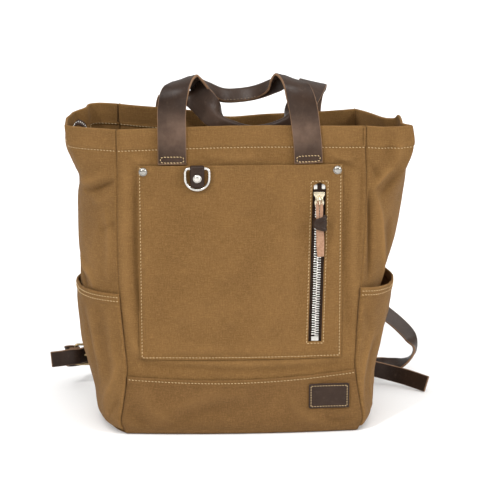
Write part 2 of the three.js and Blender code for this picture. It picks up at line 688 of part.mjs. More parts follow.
function addPocketRivets() {
  for (const [name, side] of [['pocket_rivet_left', -1], ['pocket_rivet_right', 1]]) {
    const x = pocketCentreX + side * (pocketWidth / 2 - rivetInset);
    const corners = [-1, 0, 1].map((k) => x + (k * rivetDiameter) / 2);
    const clear = Math.max(...corners.map((c) => pocketBack(c, rivetZ) - frontAt(c, rivetZ)));
    addMesh(name, cap(rivetDiameter, rivetDome).translate(x, -clear - canvasThick - seamGap, rivetZ), nickel);
  }
}

// The D-ring hangs from its straight bar, which lies in the fold of the leather tab
const ringBarZ = pocketTop - ringBarDrop;
const barRadius = ringWire / 2;
const foldRadius = barRadius + seamGap + tabThick;
const tabLow = ringBarZ - tabLength + foldRadius;
const pocketFaceY = (z) => frontAt(ringX, z) - pocketBack(ringX, z) - canvasThick;
const ringBarY = Math.min(pocketFaceY(pocketTop), pocketFaceY(tabLow)) - seamGap - foldRadius;

function addRingTab() {
  const outline = new THREE.Shape();
  const bore = barRadius + seamGap;
  outline.moveTo(foldRadius, 0);
  outline.absarc(0, 0, foldRadius, 0, Math.PI, false);
  outline.lineTo(foldRadius - 2 * tabThick - seamGap, tabLow - ringBarZ);
  outline.lineTo(foldRadius, tabLow - ringBarZ);
  outline.closePath();
  const hole = new THREE.Path();
  hole.absarc(0, 0, bore, 0, 2 * Math.PI, true);
  outline.holes.push(hole);
  const strip = new THREE.ExtrudeGeometry(outline, { depth: tabWidth, bevelEnabled: false, curveSegments: 8 });
  strip.translate(0, 0, -tabWidth / 2);
  strip.rotateX(Math.PI / 2);
  strip.rotateZ(Math.PI / 2);
  const faceShape = new THREE.Shape();
  const half = tabWidth / 2;
  const drop = tabLow - ringBarZ;
  faceShape.moveTo(-half, foldRadius + 1);
  faceShape.lineTo(-half, drop + half * 0.7);
  faceShape.quadraticCurveTo(-half * 0.8, drop, 0, drop);
  faceShape.quadraticCurveTo(half * 0.8, drop, half, drop + half * 0.7);
  faceShape.lineTo(half, foldRadius + 1);
  faceShape.closePath();
  const stampSolid = { depth: 6 * foldRadius, bevelEnabled: false, curveSegments: 5 };
  const stamp = new THREE.ExtrudeGeometry(faceShape, stampSolid);
  stamp.rotateX(Math.PI / 2);
  stamp.translate(0, 3 * foldRadius, 0);
  const tab = geometryFrom(solidOf(strip).intersect(solidOf(stamp)));
  addMesh('ring_tab', tab.translate(ringX, ringBarY, ringBarZ), hide);
  const taper = 2 * foldRadius - 2 * tabThick - seamGap;
  const down = 0.5;
  const rivet = cap(rivetDiameter, rivetDome).translate(0, -seamGap, 0).rotateX(Math.atan2(taper, -drop));
  rivet.translate(ringX, ringBarY - foldRadius + taper * down, ringBarZ + drop * down);
  addMesh('tab_rivet', rivet, nickel);
}

function addRing() {
  const halfBar = ringWidth / 2 - barRadius;
  const drop = ringHeight - ringWire;
  const path = [];
  for (let i = 0; i <= 4; i += 1) path.push([mix(-halfBar + 2, halfBar - 2, i / 4), 0]);
  for (let i = 0; i <= 12; i += 1) {
    const angle = mix(0.12, Math.PI - 0.12, i / 12);
    const across = Math.sign(Math.cos(angle)) * Math.abs(Math.cos(angle)) ** 0.6;
    path.push([halfBar * across, -drop * Math.sin(angle)]);
  }
  const points = path.map(([x, z]) => new THREE.Vector3(x, 0, z));
  const sides = 8;
  const corners = [];
  points.forEach((point, i) => {
    const before = points[(i + points.length - 1) % points.length];
    const way = points[(i + 1) % points.length].clone().sub(before).normalize();
    const across = new THREE.Vector3(0, 1, 0).cross(way);
    for (let k = 0; k < sides; k += 1) {
      const angle = (2 * Math.PI * k) / sides;
      corners.push(point.clone().addScaledVector(across, barRadius * Math.cos(angle))
        .add(new THREE.Vector3(0, barRadius * Math.sin(angle), 0)));
    }
  });
  const faces = [];
  for (let i = 0; i < points.length; i += 1) {
    for (let k = 0; k < sides; k += 1) {
      const a = i * sides + k;
      const b = i * sides + ((k + 1) % sides);
      const next = (i + 1) % points.length;
      faces.push(a, next * sides + ((k + 1) % sides), next * sides + k, a, b, next * sides + ((k + 1) % sides));
    }
  }
  const ring = geometryOf(corners, faces).rotateX(THREE.MathUtils.degToRad(ringHang));
  addMesh('d_ring', ring.translate(ringX, ringBarY, ringBarZ), nickel);
}

function addLabelPatch() {
  const cells = 4;
  const off = 2 * (canvasThick + seamGap) + 0.2 - canvasThick;
  const low = patchMiddle - patchHeight / 2;
  const grid = (extra) => Array.from({ length: cells + 1 }, (_, i) => Array.from({ length: cells + 1 }, (_, j) => {
    const x = patchX + patchWidth * (j / cells - 0.5);
    return inFront(x, low + (patchHeight * i) / cells, off + extra);
  }));
  addMesh('label_patch', closedSheet(grid(patchThick), grid(0)), hide);
}

const sidePocketRows = [0, 0.045, 0.1, 0.19, 0.33, 0.5, 0.67, 0.84, 1];

// A side pocket: a sheet over the lower gusset, stitched in at both seams, its mouth standing a little open
function addSidePockets() {
  const low = 6;
  const pockets = [['side_pocket_left', -1, mouthGapeLeft], ['side_pocket_right', 1, mouthGapeRight]];
  for (const [name, side, gape] of pockets) {
    const grid = (thick) => sidePocketRows.map((up) => {
      const cells = gussetCells;
      const line = Array.from({ length: cells + 1 }, (_, j) => {
        const t = side > 0 ? j / cells : 1 - j / cells;
        const top = sidePocketHeight - sidePocketDip * Math.sin(Math.PI * t) * (side > 0 ? 1 : 0.3);
        const z = mix(low, top, up);
        const nudge = 0.02;
        const before = gussetAt(side, Math.max(t - nudge, 0), z);
        const way = gussetAt(side, Math.min(t + nudge, 1), z).sub(before).normalize();
        const out = new THREE.Vector2(side * way.y, -side * way.x);
        const open = gape * ease((up - 0.25) / 0.75) * Math.sin(Math.PI * t) ** 0.7;
        const at = gussetAt(side, t, z).addScaledVector(out, 2 * seamGap + open + thick);
        return new THREE.Vector3(at.x, at.y, z);
      });
      const draw = (end, next) => end.addScaledVector(next.clone().sub(end).setZ(0).normalize(), sidePocketSetback);
      draw(line[0], line[1]);
      draw(line[cells], line[cells - 1]);
      return line;
    });
    addMesh(name, closedSheet(grid(canvasThick), grid(0)), cloth);
  }
}

// Routes of the handles. x: share of half the handles' spread. y: share of half the depth. up: share of the rise
// above the rim, or of the leg's length where below it. wx, wy, wz: direction of the strap's width. grip: 1 where
// the strap is folded lengthwise into the grip.
const frontHandle = [
  { x: -1.0, y: null, up: -1, wx: 1, wy: 0, wz: 0, grip: 0 },
  { x: -1.0, y: null, up: -0.5, wx: 1, wy: 0, wz: 0, grip: 0 },
  { x: -1.0, y: null, up: 0.0, wx: 1, wy: 0, wz: 0, grip: 0 },
  { x: -1.0, y: -0.87, up: 0.3, wx: 1, wy: 0, wz: 0.02, grip: 0 },
  { x: -0.97, y: -0.86, up: 0.52, wx: 0.98, wy: -0.05, wz: 0.12, grip: 0 },
  { x: -0.91, y: -0.8, up: 0.7, wx: 0.85, wy: -0.3, wz: 0.35, grip: 0 },
  { x: -0.82, y: -0.66, up: 0.8, wx: 0.72, wy: -0.45, wz: 0.5, grip: 0.05 },
  { x: -0.72, y: -0.52, up: 0.79, wx: 0.55, wy: -0.25, wz: 0.8, grip: 0.45 },
  { x: -0.5, y: -0.34, up: 0.62, wx: 0.3, wy: 0.2, wz: 0.93, grip: 0.85 },
  { x: -0.25, y: -0.18, up: 0.43, wx: 0.08, wy: 0.45, wz: 0.88, grip: 1 },
  { x: 0.0, y: -0.1, up: 0.41, wx: 0, wy: 0.5, wz: 0.86, grip: 1 },
  { x: 0.25, y: -0.18, up: 0.49, wx: -0.1, wy: 0.45, wz: 0.88, grip: 1 },
  { x: 0.5, y: -0.34, up: 0.67, wx: -0.35, wy: 0.2, wz: 0.9, grip: 0.85 },
  { x: 0.63, y: -0.52, up: 0.8, wx: -0.55, wy: -0.25, wz: 0.8, grip: 0.45 },
  { x: 0.71, y: -0.66, up: 0.82, wx: -0.72, wy: -0.45, wz: 0.5, grip: 0.05 },
  { x: 0.81, y: -0.8, up: 0.72, wx: -0.86, wy: -0.3, wz: 0.35, grip: 0 },
  { x: 0.88, y: -0.86, up: 0.5, wx: -0.98, wy: -0.05, wz: 0.1, grip: 0 },
  { x: 0.93, y: -0.87, up: 0.22, wx: -1, wy: 0, wz: 0.04, grip: 0 },
  { x: 0.96, y: null, up: 0.0, wx: -1, wy: 0, wz: 0, grip: 0 },
  { x: 0.99, y: null, up: -0.5, wx: -1, wy: 0, wz: 0, grip: 0 },
  { x: 1.0, y: null, up: -1, wx: -1, wy: 0, wz: 0, grip: 0 },
];
const backHandle = [
  { x: -1.03, y: null, up: -1, wx: 1, wy: 0, wz: 0, grip: 0 },
  { x: -1.03, y: null, up: -0.5, wx: 1, wy: 0, wz: 0, grip: 0 },
  { x: -1.03, y: null, up: 0.04, wx: 1, wy: 0, wz: 0, grip: 0 },
  { x: -0.99, y: 0.68, up: 0.24, wx: 1, wy: 0, wz: 0, grip: 0 },
  { x: -0.965, y: 0.3, up: 0.34, wx: 0.98, wy: 0, wz: 0.1, grip: 0 },
  { x: -0.925, y: -0.08, up: 0.34, wx: 0.96, wy: 0.1, wz: 0.15, grip: 0 },
  { x: -0.85, y: -0.42, up: 0.32, wx: 0.93, wy: 0.2, wz: 0.15, grip: 0 },
  { x: -0.72, y: -0.66, up: 0.31, wx: 0.9, wy: 0.1, wz: 0.38, grip: 0 },
  { x: -0.54, y: -0.68, up: 0.16, wx: 0.85, wy: 0, wz: 0.5, grip: 0.05 },
  { x: -0.34, y: -0.6, up: -0.02, wx: 0.6, wy: 0.1, wz: 0.8, grip: 0.45 },
  { x: -0.08, y: -0.52, up: -0.18, wx: 0.25, wy: 0.1, wz: 0.95, grip: 0.9 },
  { x: 0.14, y: -0.46, up: -0.27, wx: 0.05, wy: 0.1, wz: 1, grip: 1 },
  { x: 0.42, y: -0.42, up: -0.24, wx: -0.2, wy: 0.1, wz: 0.95, grip: 1 },
  { x: 0.64, y: -0.4, up: -0.1, wx: -0.5, wy: 0.1, wz: 0.85, grip: 0.7 },
  { x: 0.8, y: -0.34, up: 0.14, wx: -0.75, wy: 0, wz: 0.6, grip: 0.3 },
  { x: 0.95, y: -0.2, up: 0.42, wx: -0.9, wy: 0, wz: 0.4, grip: 0.05 },
  { x: 1.05, y: 0.02, up: 0.6, wx: -0.95, wy: 0, wz: 0.3, grip: 0 },
  { x: 1.1, y: 0.28, up: 0.63, wx: -0.96, wy: 0.05, wz: 0.22, grip: 0 },
  { x: 1.11, y: 0.55, up: 0.45, wx: -0.98, wy: 0.05, wz: 0.1, grip: 0 },
  { x: 1.08, y: 0.82, up: 0.22, wx: -1, wy: 0, wz: 0, grip: 0 },
  { x: 1.05, y: null, up: 0.0, wx: -1, wy: 0, wz: 0, grip: 0 },
  { x: 1.05, y: null, up: -0.5, wx: -1, wy: 0, wz: 0, grip: 0 },
  { x: 1.05, y: null, up: -1, wx: -1, wy: 0, wz: 0, grip: 0 },
];

function addHandle(name, table, onFront) {
  const off = handleThick / 2 + 2 * seamGap;
  const rows = table.map((row) => {
    const x = (row.x * handleSpread) / 2;
    const z = bagHeight + row.up * (row.up < 0 && row.y === null ? handleLegDrop : handleRise);
    const level = Math.min(z, bagHeight);
    const edges = [-1, 0, 1].map((k) => x + (k * handleWidth) / 2);
    const legY = onFront
      ? Math.min(...edges.map((edge) => frontAt(edge, level))) - off
      : Math.max(...edges.map((edge) => backAt(edge, level))) + off;
    return {
      at: new THREE.Vector3(x, row.y === null ? legY : row.y * halfDepth, z),
      width: new THREE.Vector3(row.wx, row.wy, row.wz),
      wide: mix(handleWidth, gripWidth, row.grip),
      thick: mix(handleThick, gripThick, row.grip),
    };
  });
  addMesh(name, ribbon(route(rows, 3)), hide);
}

// The straps' buckles. Each stands at the end of its shoulder strap, and the lower strap runs through it.
// side: left or right. x: share of the strap's reach. y: share of half the depth. z: share of the bag's height.
// turn: how far the buckle's face turns about the vertical, degrees. tip: how far its strap end points down.
const buckles = [
  { name: 'left', side: -1, x: 0.835, y: 1.5, z: 0.117, turn: 4, tip: -2 },
  { name: 'right', side: 1, x: 0.64, y: 1.5, z: 0.068, turn: -8, tip: 6 },
];

function buckleFrame(row) {
  const reach = row.side < 0 ? strapReachLeft : strapReachRight;
  const group = new THREE.Group();
  group.position.set(row.side * reach * row.x, row.y * halfDepth, row.z * bagHeight);
  group.rotation.set(0, THREE.MathUtils.degToRad(row.side * row.tip), THREE.MathUtils.degToRad(row.turn), 'ZYX');
  group.updateMatrixWorld();
  return (along, out, up) => new THREE.Vector3(row.side * along, -out, up).applyMatrix4(group.matrixWorld);
}

// Places in a buckle's own frame: along points to the strap's free end, out towards the front
function addBuckle(row) {
  const spot = buckleFrame(row);
  const upward = spot(0, 0, 1).sub(spot(0, 0, 0));
  const outward = spot(0, 1, 0).sub(spot(0, 0, 0));
  const halfLong = (buckleLength - buckleBar) / 2;
  const halfHigh = (buckleHeight - buckleBar) / 2;
  const round = 3;
  const loop = [];
  for (const [a, b] of [[1, -1], [1, 1], [-1, 1], [-1, -1]]) {
    const first = [a * halfLong, b * (halfHigh - round)];
    const second = [a * (halfLong - round), b * halfHigh];
    const middle = [a * (halfLong - round * 0.3), b * (halfHigh - round * 0.3)];
    loop.push(...(a * b < 0 ? [second, middle, first] : [first, middle, second]));
  }
  const frame = ribbon(loop.map(([along, up]) => ({
    at: spot(along, 0, up), width: outward, wide: buckleBar, thick: buckleBar,
  })), true);
  const tongue = (spare) => ribbon([
    [halfLong + buckleBar * 0.3 + spare, 0], [halfLong - buckleBar, buckleBar * 0.2], [0, buckleBar * 0.7],
    [-halfLong - buckleBar * 0.5 - spare, buckleBar * 0.8],
  ].map(([along, out]) => ({
    at: spot(along, out, 0), width: upward, wide: buckleBar + 2 * spare, thick: buckleBar * 0.8 + 2 * spare,
  })));
  return { frame, prong: tongue(0), slot: tongue(seamGap), spot, upward, halfLong };
}

const strapRow = (at, width) => ({ at, width, wide: strapWidth, thick: strapThick });

// Routes of the shoulder straps from the back's top to the buckle. x: share of the strap's reach. y: how far the
// strap stands behind the back seam, share of the stand-off. z: share of the height. wx, wy, wz: width direction.
const shoulderRoutes = {
  left: [
    { x: 0.17, y: 0.06, z: 0.8, wx: 1, wy: 0, wz: 0 }, { x: 0.24, y: 0.14, z: 0.62, wx: 0.98, wy: 0, wz: 0.1 },
    { x: 0.36, y: 0.4, z: 0.44, wx: 0.9, wy: 0, wz: 0.3 }, { x: 0.54, y: 0.8, z: 0.26, wx: 0.7, wy: 0, wz: 0.7 },
    { x: 0.7, y: 1.2, z: 0.12, wx: 0.3, wy: 0.1, wz: 0.95 }, { x: 0.81, y: 1.28, z: 0.085, wx: 0, wy: 0, wz: 1 },
    { x: 0.875, y: 1.22, z: 0.078, wx: 0, wy: 0, wz: 1 }, { x: 0.915, y: 1.02, z: 0.085, wx: 0, wy: 0, wz: 1 },
    { x: 0.922, y: 0.84, z: 0.098, wx: 0, wy: 0, wz: 1 },
  ],
  right: [
    { x: 0.18, y: 0.06, z: 0.8, wx: -1, wy: 0, wz: 0 }, { x: 0.26, y: 0.16, z: 0.64, wx: -0.98, wy: 0, wz: -0.1 },
    { x: 0.4, y: 0.55, z: 0.46, wx: -0.9, wy: -0.2, wz: -0.3 },
    { x: 0.6, y: 1.1, z: 0.33, wx: -0.7, wy: -0.45, wz: -0.5 },
    { x: 0.79, y: 1.26, z: 0.225, wx: -0.5, wy: -0.68, wz: -0.54 },
    { x: 0.87, y: 1.33, z: 0.177, wx: -0.6, wy: -0.68, wz: -0.42 },
    { x: 0.925, y: 1.36, z: 0.135, wx: -0.65, wy: -0.68, wz: -0.3 },
    { x: 0.945, y: 1.24, z: 0.1, wx: -0.35, wy: -0.82, wz: 0.4 },
    { x: 0.93, y: 1.08, z: 0.078, wx: 0.1, wy: -0.82, wz: 0.48 },
    { x: 0.885, y: 0.98, z: 0.06, wx: 0.2, wy: -0.95, wz: 0 },
    { x: 0.82, y: 0.93, z: 0.05, wx: 0.25, wy: -0.7, wz: -0.65 },
  ],
};

// The free ends of the lower straps past the buckle. x, y, z as for the buckles.
const tailRoutes = {
  left: [{ x: 0.94, y: 1.36, z: 0.113, wy: 0 }, { x: 1, y: 1.34, z: 0.11, wy: 0 }],
  right: [{ x: 0.785, y: 1.33, z: 0.048, wy: 0.1 }, { x: 0.88, y: 1.2, z: 0.037, wy: 0.3 },
    { x: 0.975, y: 0.96, z: 0.0275, wy: 0.45 }],
};
const lowerRoutes = {
  left: [{ x: 0.62, y: 1.22, z: 0.062, wy: 0 }, { x: 0.7, y: 1.42, z: 0.085, wy: 0 }],
  right: [{ x: 0.555, y: 1.19, z: 0.057, wy: 0 }, { x: 0.575, y: 1.4, z: 0.063, wy: 0 }],
};

function addStraps() {
  const clear = buckleBar * 0.7 + 2 * seamGap + strapThick / 2;
  for (const row of buckles) {
    const reach = row.side < 0 ? strapReachLeft : strapReachRight;
    const { frame, prong, slot, spot, upward, halfLong } = addBuckle(row);
    const wall = (x, z) => backAt(x, z) + 2 * seamGap + strapThick / 2;
    const behind = (x, z) => {
      const near = Math.min(Math.abs(x), halfWidth - strapWidth) * Math.sign(x);
      return Math.max(wall(0, z), wall(near - strapWidth / 2, z), wall(near + strapWidth / 2, z));
    };
    const upper = shoulderRoutes[row.name].map((place) => strapRow(
      new THREE.Vector3(row.side * reach * place.x,
        behind(row.side * reach * place.x, bagHeight * place.z) + strapStandoff * place.y, bagHeight * place.z),
      new THREE.Vector3(place.wx, place.wy, place.wz)));
    const anchorX = row.side * strapAnchorX;
    const slope = backAt(anchorX + strapWidth / 2, strapTop) - backAt(anchorX - strapWidth / 2, strapTop);
    upper.unshift(strapRow(new THREE.Vector3(anchorX, wall(anchorX, strapTop) + 3 * seamGap, strapTop),
      new THREE.Vector3(-row.side * strapWidth, -row.side * slope, 0)));
    const last = upper[upper.length - 1].width;
    const facing = upward.clone().multiplyScalar(Math.sign(last.dot(upward)) || 1);
    upper.push(strapRow(spot(halfLong + 2 * clear, -clear, 0), facing));
    const quarter = Math.PI / 4;
    for (let k = -2; k <= 2; k += 1) {
      upper.push(strapRow(spot(halfLong - clear * Math.cos(k * quarter), clear * Math.sin(k * quarter), 0), facing));
    }
    upper.push(strapRow(spot(halfLong + clear + 2, clear, 0), facing));
    const slotted = (rows) => geometryFrom(solidOf(ribbon(route(rows, 3))).subtract(solidOf(slot)));
    addMesh(`shoulder_strap_${row.name}`, slotted(upper), hide);
    const lay = (place) => strapRow(new THREE.Vector3(row.side * reach * place.x, halfDepth * place.y,
      bagHeight * place.z), new THREE.Vector3(0, place.wy, 1));
    const over = 2 * clear + seamGap;
    const through = [[-halfLong - 4, -clear], [-halfLong + 2, -clear * 0.9], [0.5, clear * 0.8],
      [halfLong - clear * 1.2, over * 0.8], [halfLong, over], [halfLong + clear, over + seamGap]];
    const seat = wall(row.side * (lowerStart - lowerSewn), lowerHeight) + canvasThick + 3 * seamGap;
    const sewn = [lowerStart - lowerSewn, lowerStart].map((x) => strapRow(
      new THREE.Vector3(row.side * x, seat, lowerHeight), new THREE.Vector3(0, 0, 1)));
    const lower = [...sewn, ...lowerRoutes[row.name].map(lay),
      ...through.map(([along, out]) => strapRow(spot(along, out, 0), upward)), ...tailRoutes[row.name].map(lay)];
    addMesh(`lower_strap_${row.name}`, slotted(lower), hide);
    addMesh(`buckle_${row.name}`, geometryFrom(solidOf(frame).add(solidOf(prong))), antiqueBrass);
  }
}

// The end of the closure zip's tape, sewn in beside the left gusset and arched over inside the mouth.
// out: share of the loop's width away from the gusset. up: share of the same width above the sewn line.
function addClosureEnd() {
  const sewnZ = bagHeight - hemDepth;
  const middle = gussetAt(-1, closureAlong, sewnZ);
  const nearby = [-0.06, -0.03, 0, 0.03, 0.06].map((aside) => gussetAt(-1, closureAlong + aside, sewnZ).x);
  const startX = Math.max(...nearby) + 2 * canvasThick + seamGap + closureThick / 2;
  const rows = [
    { out: 0, up: -0.2 }, { out: 0.01, up: 0.3 }, { out: 0.12, up: 0.95 }, { out: 0.45, up: 1.3 },
    { out: 0.9, up: 1.05 }, { out: 1.1, up: 0.3 }, { out: 1.15, up: -0.6 },
  ].map((row) => ({
    at: new THREE.Vector3(startX + row.out * closureLoop, middle.y, sewnZ + row.up * closureLoop),
    width: new THREE.Vector3(0, 1, 0), wide: closureWidth, thick: closureThick,
  }));
  addMesh('closure_zip_end', ribbon(route(rows, 3)), cloth);
}

addPanels();
addBaseBand();
addFrontPocket();
addZip();
addSlider();
addPull();
addPocketRivets();
addRingTab();
addRing();
addLabelPatch();
addSidePockets();
addHandle('handle_front', frontHandle, true);
addHandle('handle_back', backHandle, false);
addStraps();
addClosureEnd();

export default bag;
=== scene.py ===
import math

import bmesh
import bpy
import numpy as np
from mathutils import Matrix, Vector


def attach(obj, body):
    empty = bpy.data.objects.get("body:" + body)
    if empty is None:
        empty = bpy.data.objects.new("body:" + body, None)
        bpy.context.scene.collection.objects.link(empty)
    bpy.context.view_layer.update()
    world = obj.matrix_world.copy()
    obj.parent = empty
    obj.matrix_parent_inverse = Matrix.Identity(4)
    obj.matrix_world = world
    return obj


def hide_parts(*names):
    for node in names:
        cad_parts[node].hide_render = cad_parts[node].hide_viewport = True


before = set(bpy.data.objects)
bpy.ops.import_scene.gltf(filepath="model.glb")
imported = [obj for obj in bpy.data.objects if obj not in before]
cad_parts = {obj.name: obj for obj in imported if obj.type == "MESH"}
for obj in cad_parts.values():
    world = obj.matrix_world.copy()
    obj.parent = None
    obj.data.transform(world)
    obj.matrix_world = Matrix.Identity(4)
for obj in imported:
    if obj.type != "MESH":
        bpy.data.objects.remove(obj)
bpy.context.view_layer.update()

# The camera looks at the front from a little above and a little to the left, with a long lens.
aim = Vector((0.012, 0, 0.202))
turn, rise, away = math.radians(-2.5), math.radians(15.5), 2.2
lens = bpy.data.cameras.new("camera")
lens.sensor_width, lens.lens, lens.clip_end = 36, 135.7, 60
camera = bpy.data.objects.new("camera", lens)
bpy.context.collection.objects.link(camera)
camera.location = aim + away * Vector((
    math.sin(turn) * math.cos(rise), -math.cos(turn) * math.cos(rise), math.sin(rise)))
camera.rotation_euler = (math.pi / 2 - rise, 0, turn)
bpy.context.scene.camera = camera


# The studio: a plain white floor that runs out of view, a key light high at the left that throws the
# ring's shadow to the lower right, a broad fill at the right, and a room that is paler towards its ceiling.
class Wire:
    """One output socket of a finish. Its operators add Math nodes to the finish."""

    def __init__(self, finish, socket):
        self.finish, self.socket = finish, socket

    def _maths(self, kind, first, second=None):
        inputs = {0: first} if second is None else {0: first, 1: second}
        return self.finish.node("Math", {"operation": kind}, inputs)

    def __add__(self, other):
        return self._maths("ADD", self, other)

    def __radd__(self, other):
        return self._maths("ADD", other, self)

    def __sub__(self, other):
        return self._maths("SUBTRACT", self, other)

    def __rsub__(self, other):
        return self._maths("SUBTRACT", other, self)

    def __mul__(self, other):
        return self._maths("MULTIPLY", self, other)

    def __rmul__(self, other):
        return self._maths("MULTIPLY", other, self)

    def __gt__(self, other):
        return self._maths("GREATER_THAN", self, other)

    def sine(self):
        return self._maths("SINE", self)

    def size(self):
        return self._maths("ABSOLUTE", self)

    def power(self, other):
        return self._maths("POWER", self, other)


class Finish:
    """A material: one Principled shader and the nodes that feed it."""

    def __init__(self, name, colour, rough, **fixed):
        self.material = bpy.data.materials.new(name)
        self.material.use_nodes = True
        self.tree = self.material.node_tree
        self.shader = self.tree.nodes["Principled BSDF"]
        self.put("Base Color", colour)
        self.put("Roughness", rough)
        for socket, value in fixed.items():
            self.put(socket.replace("_", " "), value)

    def put(self, socket, value, node=None):
        place = (node or self.shader).inputs[socket]
        if isinstance(value, Wire):
            self.tree.links.new(value.socket, place)
        elif isinstance(value, tuple) and place.type == "RGBA" and len(value) == 3:
            place.default_value = (*value, 1)
        else:
            place.default_value = value

    def node(self, kind, settings=(), inputs=(), out=0):
        made = self.tree.nodes.new("ShaderNode" + kind)
        for key, value in dict(settings).items():
            if key == "stops":
                ramp = made.color_ramp
                while len(ramp.elements) < len(value):
                    ramp.elements.new(0.5)
                for stop, (place, grey) in zip(ramp.elements, value):
                    stop.position, stop.color = place, (grey, grey, grey, 1)
            else:
                setattr(made, key, value)
        for key, value in dict(inputs).items():
            self.put(key, value, made)
        return Wire(self, made.outputs[out])

    def mix(self, share, first, second, blend="MIX"):
        kind = {"data_type": "RGBA", "blend_type": blend}
        return self.node("Mix", kind, {0: share, 6: first, 7: second}, out=2)

    def noise(self, place, scale, detail=3, rough=0.55):
        inputs = {"Vector": place, "Scale": scale, "Detail": detail, "Roughness": rough}
        return self.node("TexNoise", inputs=inputs)

    def place(self):
        return self.node("TexCoord", out=3)

    def mottle(self, scale, detail, dark, pale):
        self.put("Base Color", self.mix(self.noise(self.place(), scale, detail), dark, pale))

    def bump(self, height, distance, strength=1.0, under=None):
        inputs = {"Height": height, "Distance": distance, "Strength": strength}
        if under:
            inputs["Normal"] = under
        return self.node("Bump", inputs=inputs)


floor_finish = Finish("white_floor", (0.86, 0.86, 0.86), 0.55)
floor_mesh = bpy.data.meshes.new("floor")
floor_mesh.from_pydata([(-40, -40, 0), (40, -40, 0), (40, 40, 0), (-40, 40, 0)], [], [(0, 1, 2, 3)])
floor = bpy.data.objects.new("floor", floor_mesh)
floor_mesh.materials.append(floor_finish.material)
bpy.context.collection.objects.link(floor)

# Each sun is a wide softbox far away: direction it comes from, strength, and how wide it looks in degrees.
for name, source, power, wide in (("key", (-1.0, -1.1, 1.15), 1.6, 6), ("fill", (1.7, -0.75, 0.85), 1.75, 26),
                                  ("top", (0.1, -0.9, 2.0), 1.0, 50)):
    light = bpy.data.lights.new(name, "SUN")
    light.energy, light.angle = power, math.radians(wide)
    lamp = bpy.data.objects.new(name, light)
    lamp.rotation_euler = (-Vector(source)).to_track_quat("-Z", "Y").to_euler()
    bpy.context.collection.objects.link(lamp)

world = bpy.data.worlds.new("room")
world.use_nodes = True
room = world.node_tree
direction = room.nodes.new("ShaderNodeTexCoord")
upward = room.nodes.new("ShaderNodeSeparateXYZ")
ceiling = room.nodes.new("ShaderNodeMapRange")
ceiling.inputs["From Min"].default_value, ceiling.inputs["From Max"].default_value = 0.0, 0.75
ceiling.inputs["To Min"].default_value, ceiling.inputs["To Max"].default_value = 0.22, 1.1
room.links.new(direction.outputs["Generated"], upward.inputs[0])
room.links.new(upward.outputs["Z"], ceiling.inputs["Value"])
room.links.new(ceiling.outputs[0], room.nodes["Background"].inputs["Strength"])
room.nodes["Background"].inputs["Color"].default_value = (1, 0.99, 0.975, 1)
bpy.context.scene.world = world
bpy.context.scene.view_settings.view_transform = "Standard"


# Front panel, back panel and gussets: waxed cotton canvas 1.6 mm thick, cut as four walls, sewn face to face at
# the four upright seams and turned, so that each seam is a narrow groove with its allowance inside. The top is
# folded in twice to a 24.5 mm hem. The walls stand by themselves and sag between the seams.
mm = 0.001
bag_height, half_width, half_depth = 0.362, 0.140, 0.068
gusset_reach = {"left": 0.058, "right": 0.050}
front_belly, back_belly, back_sag = 0.008, 0.007, 0.026
cloth_thick, hem_depth = 0.0016, 0.0245
wall_wide = {"front": 0.280, "back": 0.280, "left": 0.172, "right": 0.168}

section_rows = np.array([
    # at, left, right, front, back, belly, out_left, out_right
    (0.0, 0.955, 0.955, 0.925, 0.925, 0.75, 0.42, 0.22),
    (0.04, 1.0, 1.0, 0.975, 0.97, 0.85, 0.46, 0.27),
    (0.09, 0.985, 0.985, 0.98, 0.98, 0.92, 0.54, 0.36),
    (0.17, 0.955, 0.95, 0.98, 0.98, 1.0, 0.69, 0.5),
    (0.23, 0.945, 0.935, 0.97, 0.98, 1.0, 0.79, 0.6),
    (0.28, 0.955, 0.94, 0.96, 0.97, 0.95, 0.82, 0.62),
    (0.39, 0.98, 0.953, 0.95, 0.96, 0.9, 0.84, 0.63),
    (0.47, 0.995, 0.968, 0.94, 0.95, 0.8, 0.8, 0.64),
    (0.56, 1.005, 0.985, 0.92, 0.94, 0.7, 0.77, 0.80),
    (0.73, 1.005, 1.004, 0.88, 0.92, 0.5, 0.77, 0.97),
    (0.83, 1.0, 1.008, 0.86, 0.9, 0.4, 0.81, 1.08),
    (0.91, 1.0, 1.0, 0.84, 0.89, 0.3, 0.95, 1.12),
    (1.0, 1.0, 1.0, 0.82, 0.89, 0.2, 1.0, 1.0),
])
body_plan = np.array([
    (0, 0), (0.13, 0.52), (0.3, 0.85), (0.47, 0.98), (0.62, 1), (0.78, 0.85), (0.91, 0.45), (1, 0)])
rim_plan = {
    "left": np.array([
        (0, 0), (0.18, 0.9), (0.3, 1), (0.55, 0.98), (0.72, 0.86), (0.79, 0.66), (0.93, 0.55), (1, 0)]),
    "right": np.array([
        (0, 0), (0.05, 1), (0.14, 0.86), (0.38, 0.88), (0.52, 0.82), (0.6, 0.56), (0.8, 0.3), (1, 0)]),
}
rim_high = {
    "front": np.array([(0, 0.99), (0.5, 1), (1, 0.995)]),
    "left": np.array([(0, 0.99), (0.2, 0.992), (0.5, 1), (0.75, 1.012), (0.9, 1.016), (1, 1.01)]),
    "right": np.array([(0, 0.995), (0.06, 0.99), (0.35, 0.997), (0.5, 1), (0.62, 0.984), (1, 0.986)]),
    "back": np.array([(0, 1.01), (0.3, 0.998), (0.45, 0.978), (0.62, 0.985), (1, 0.986)]),
}
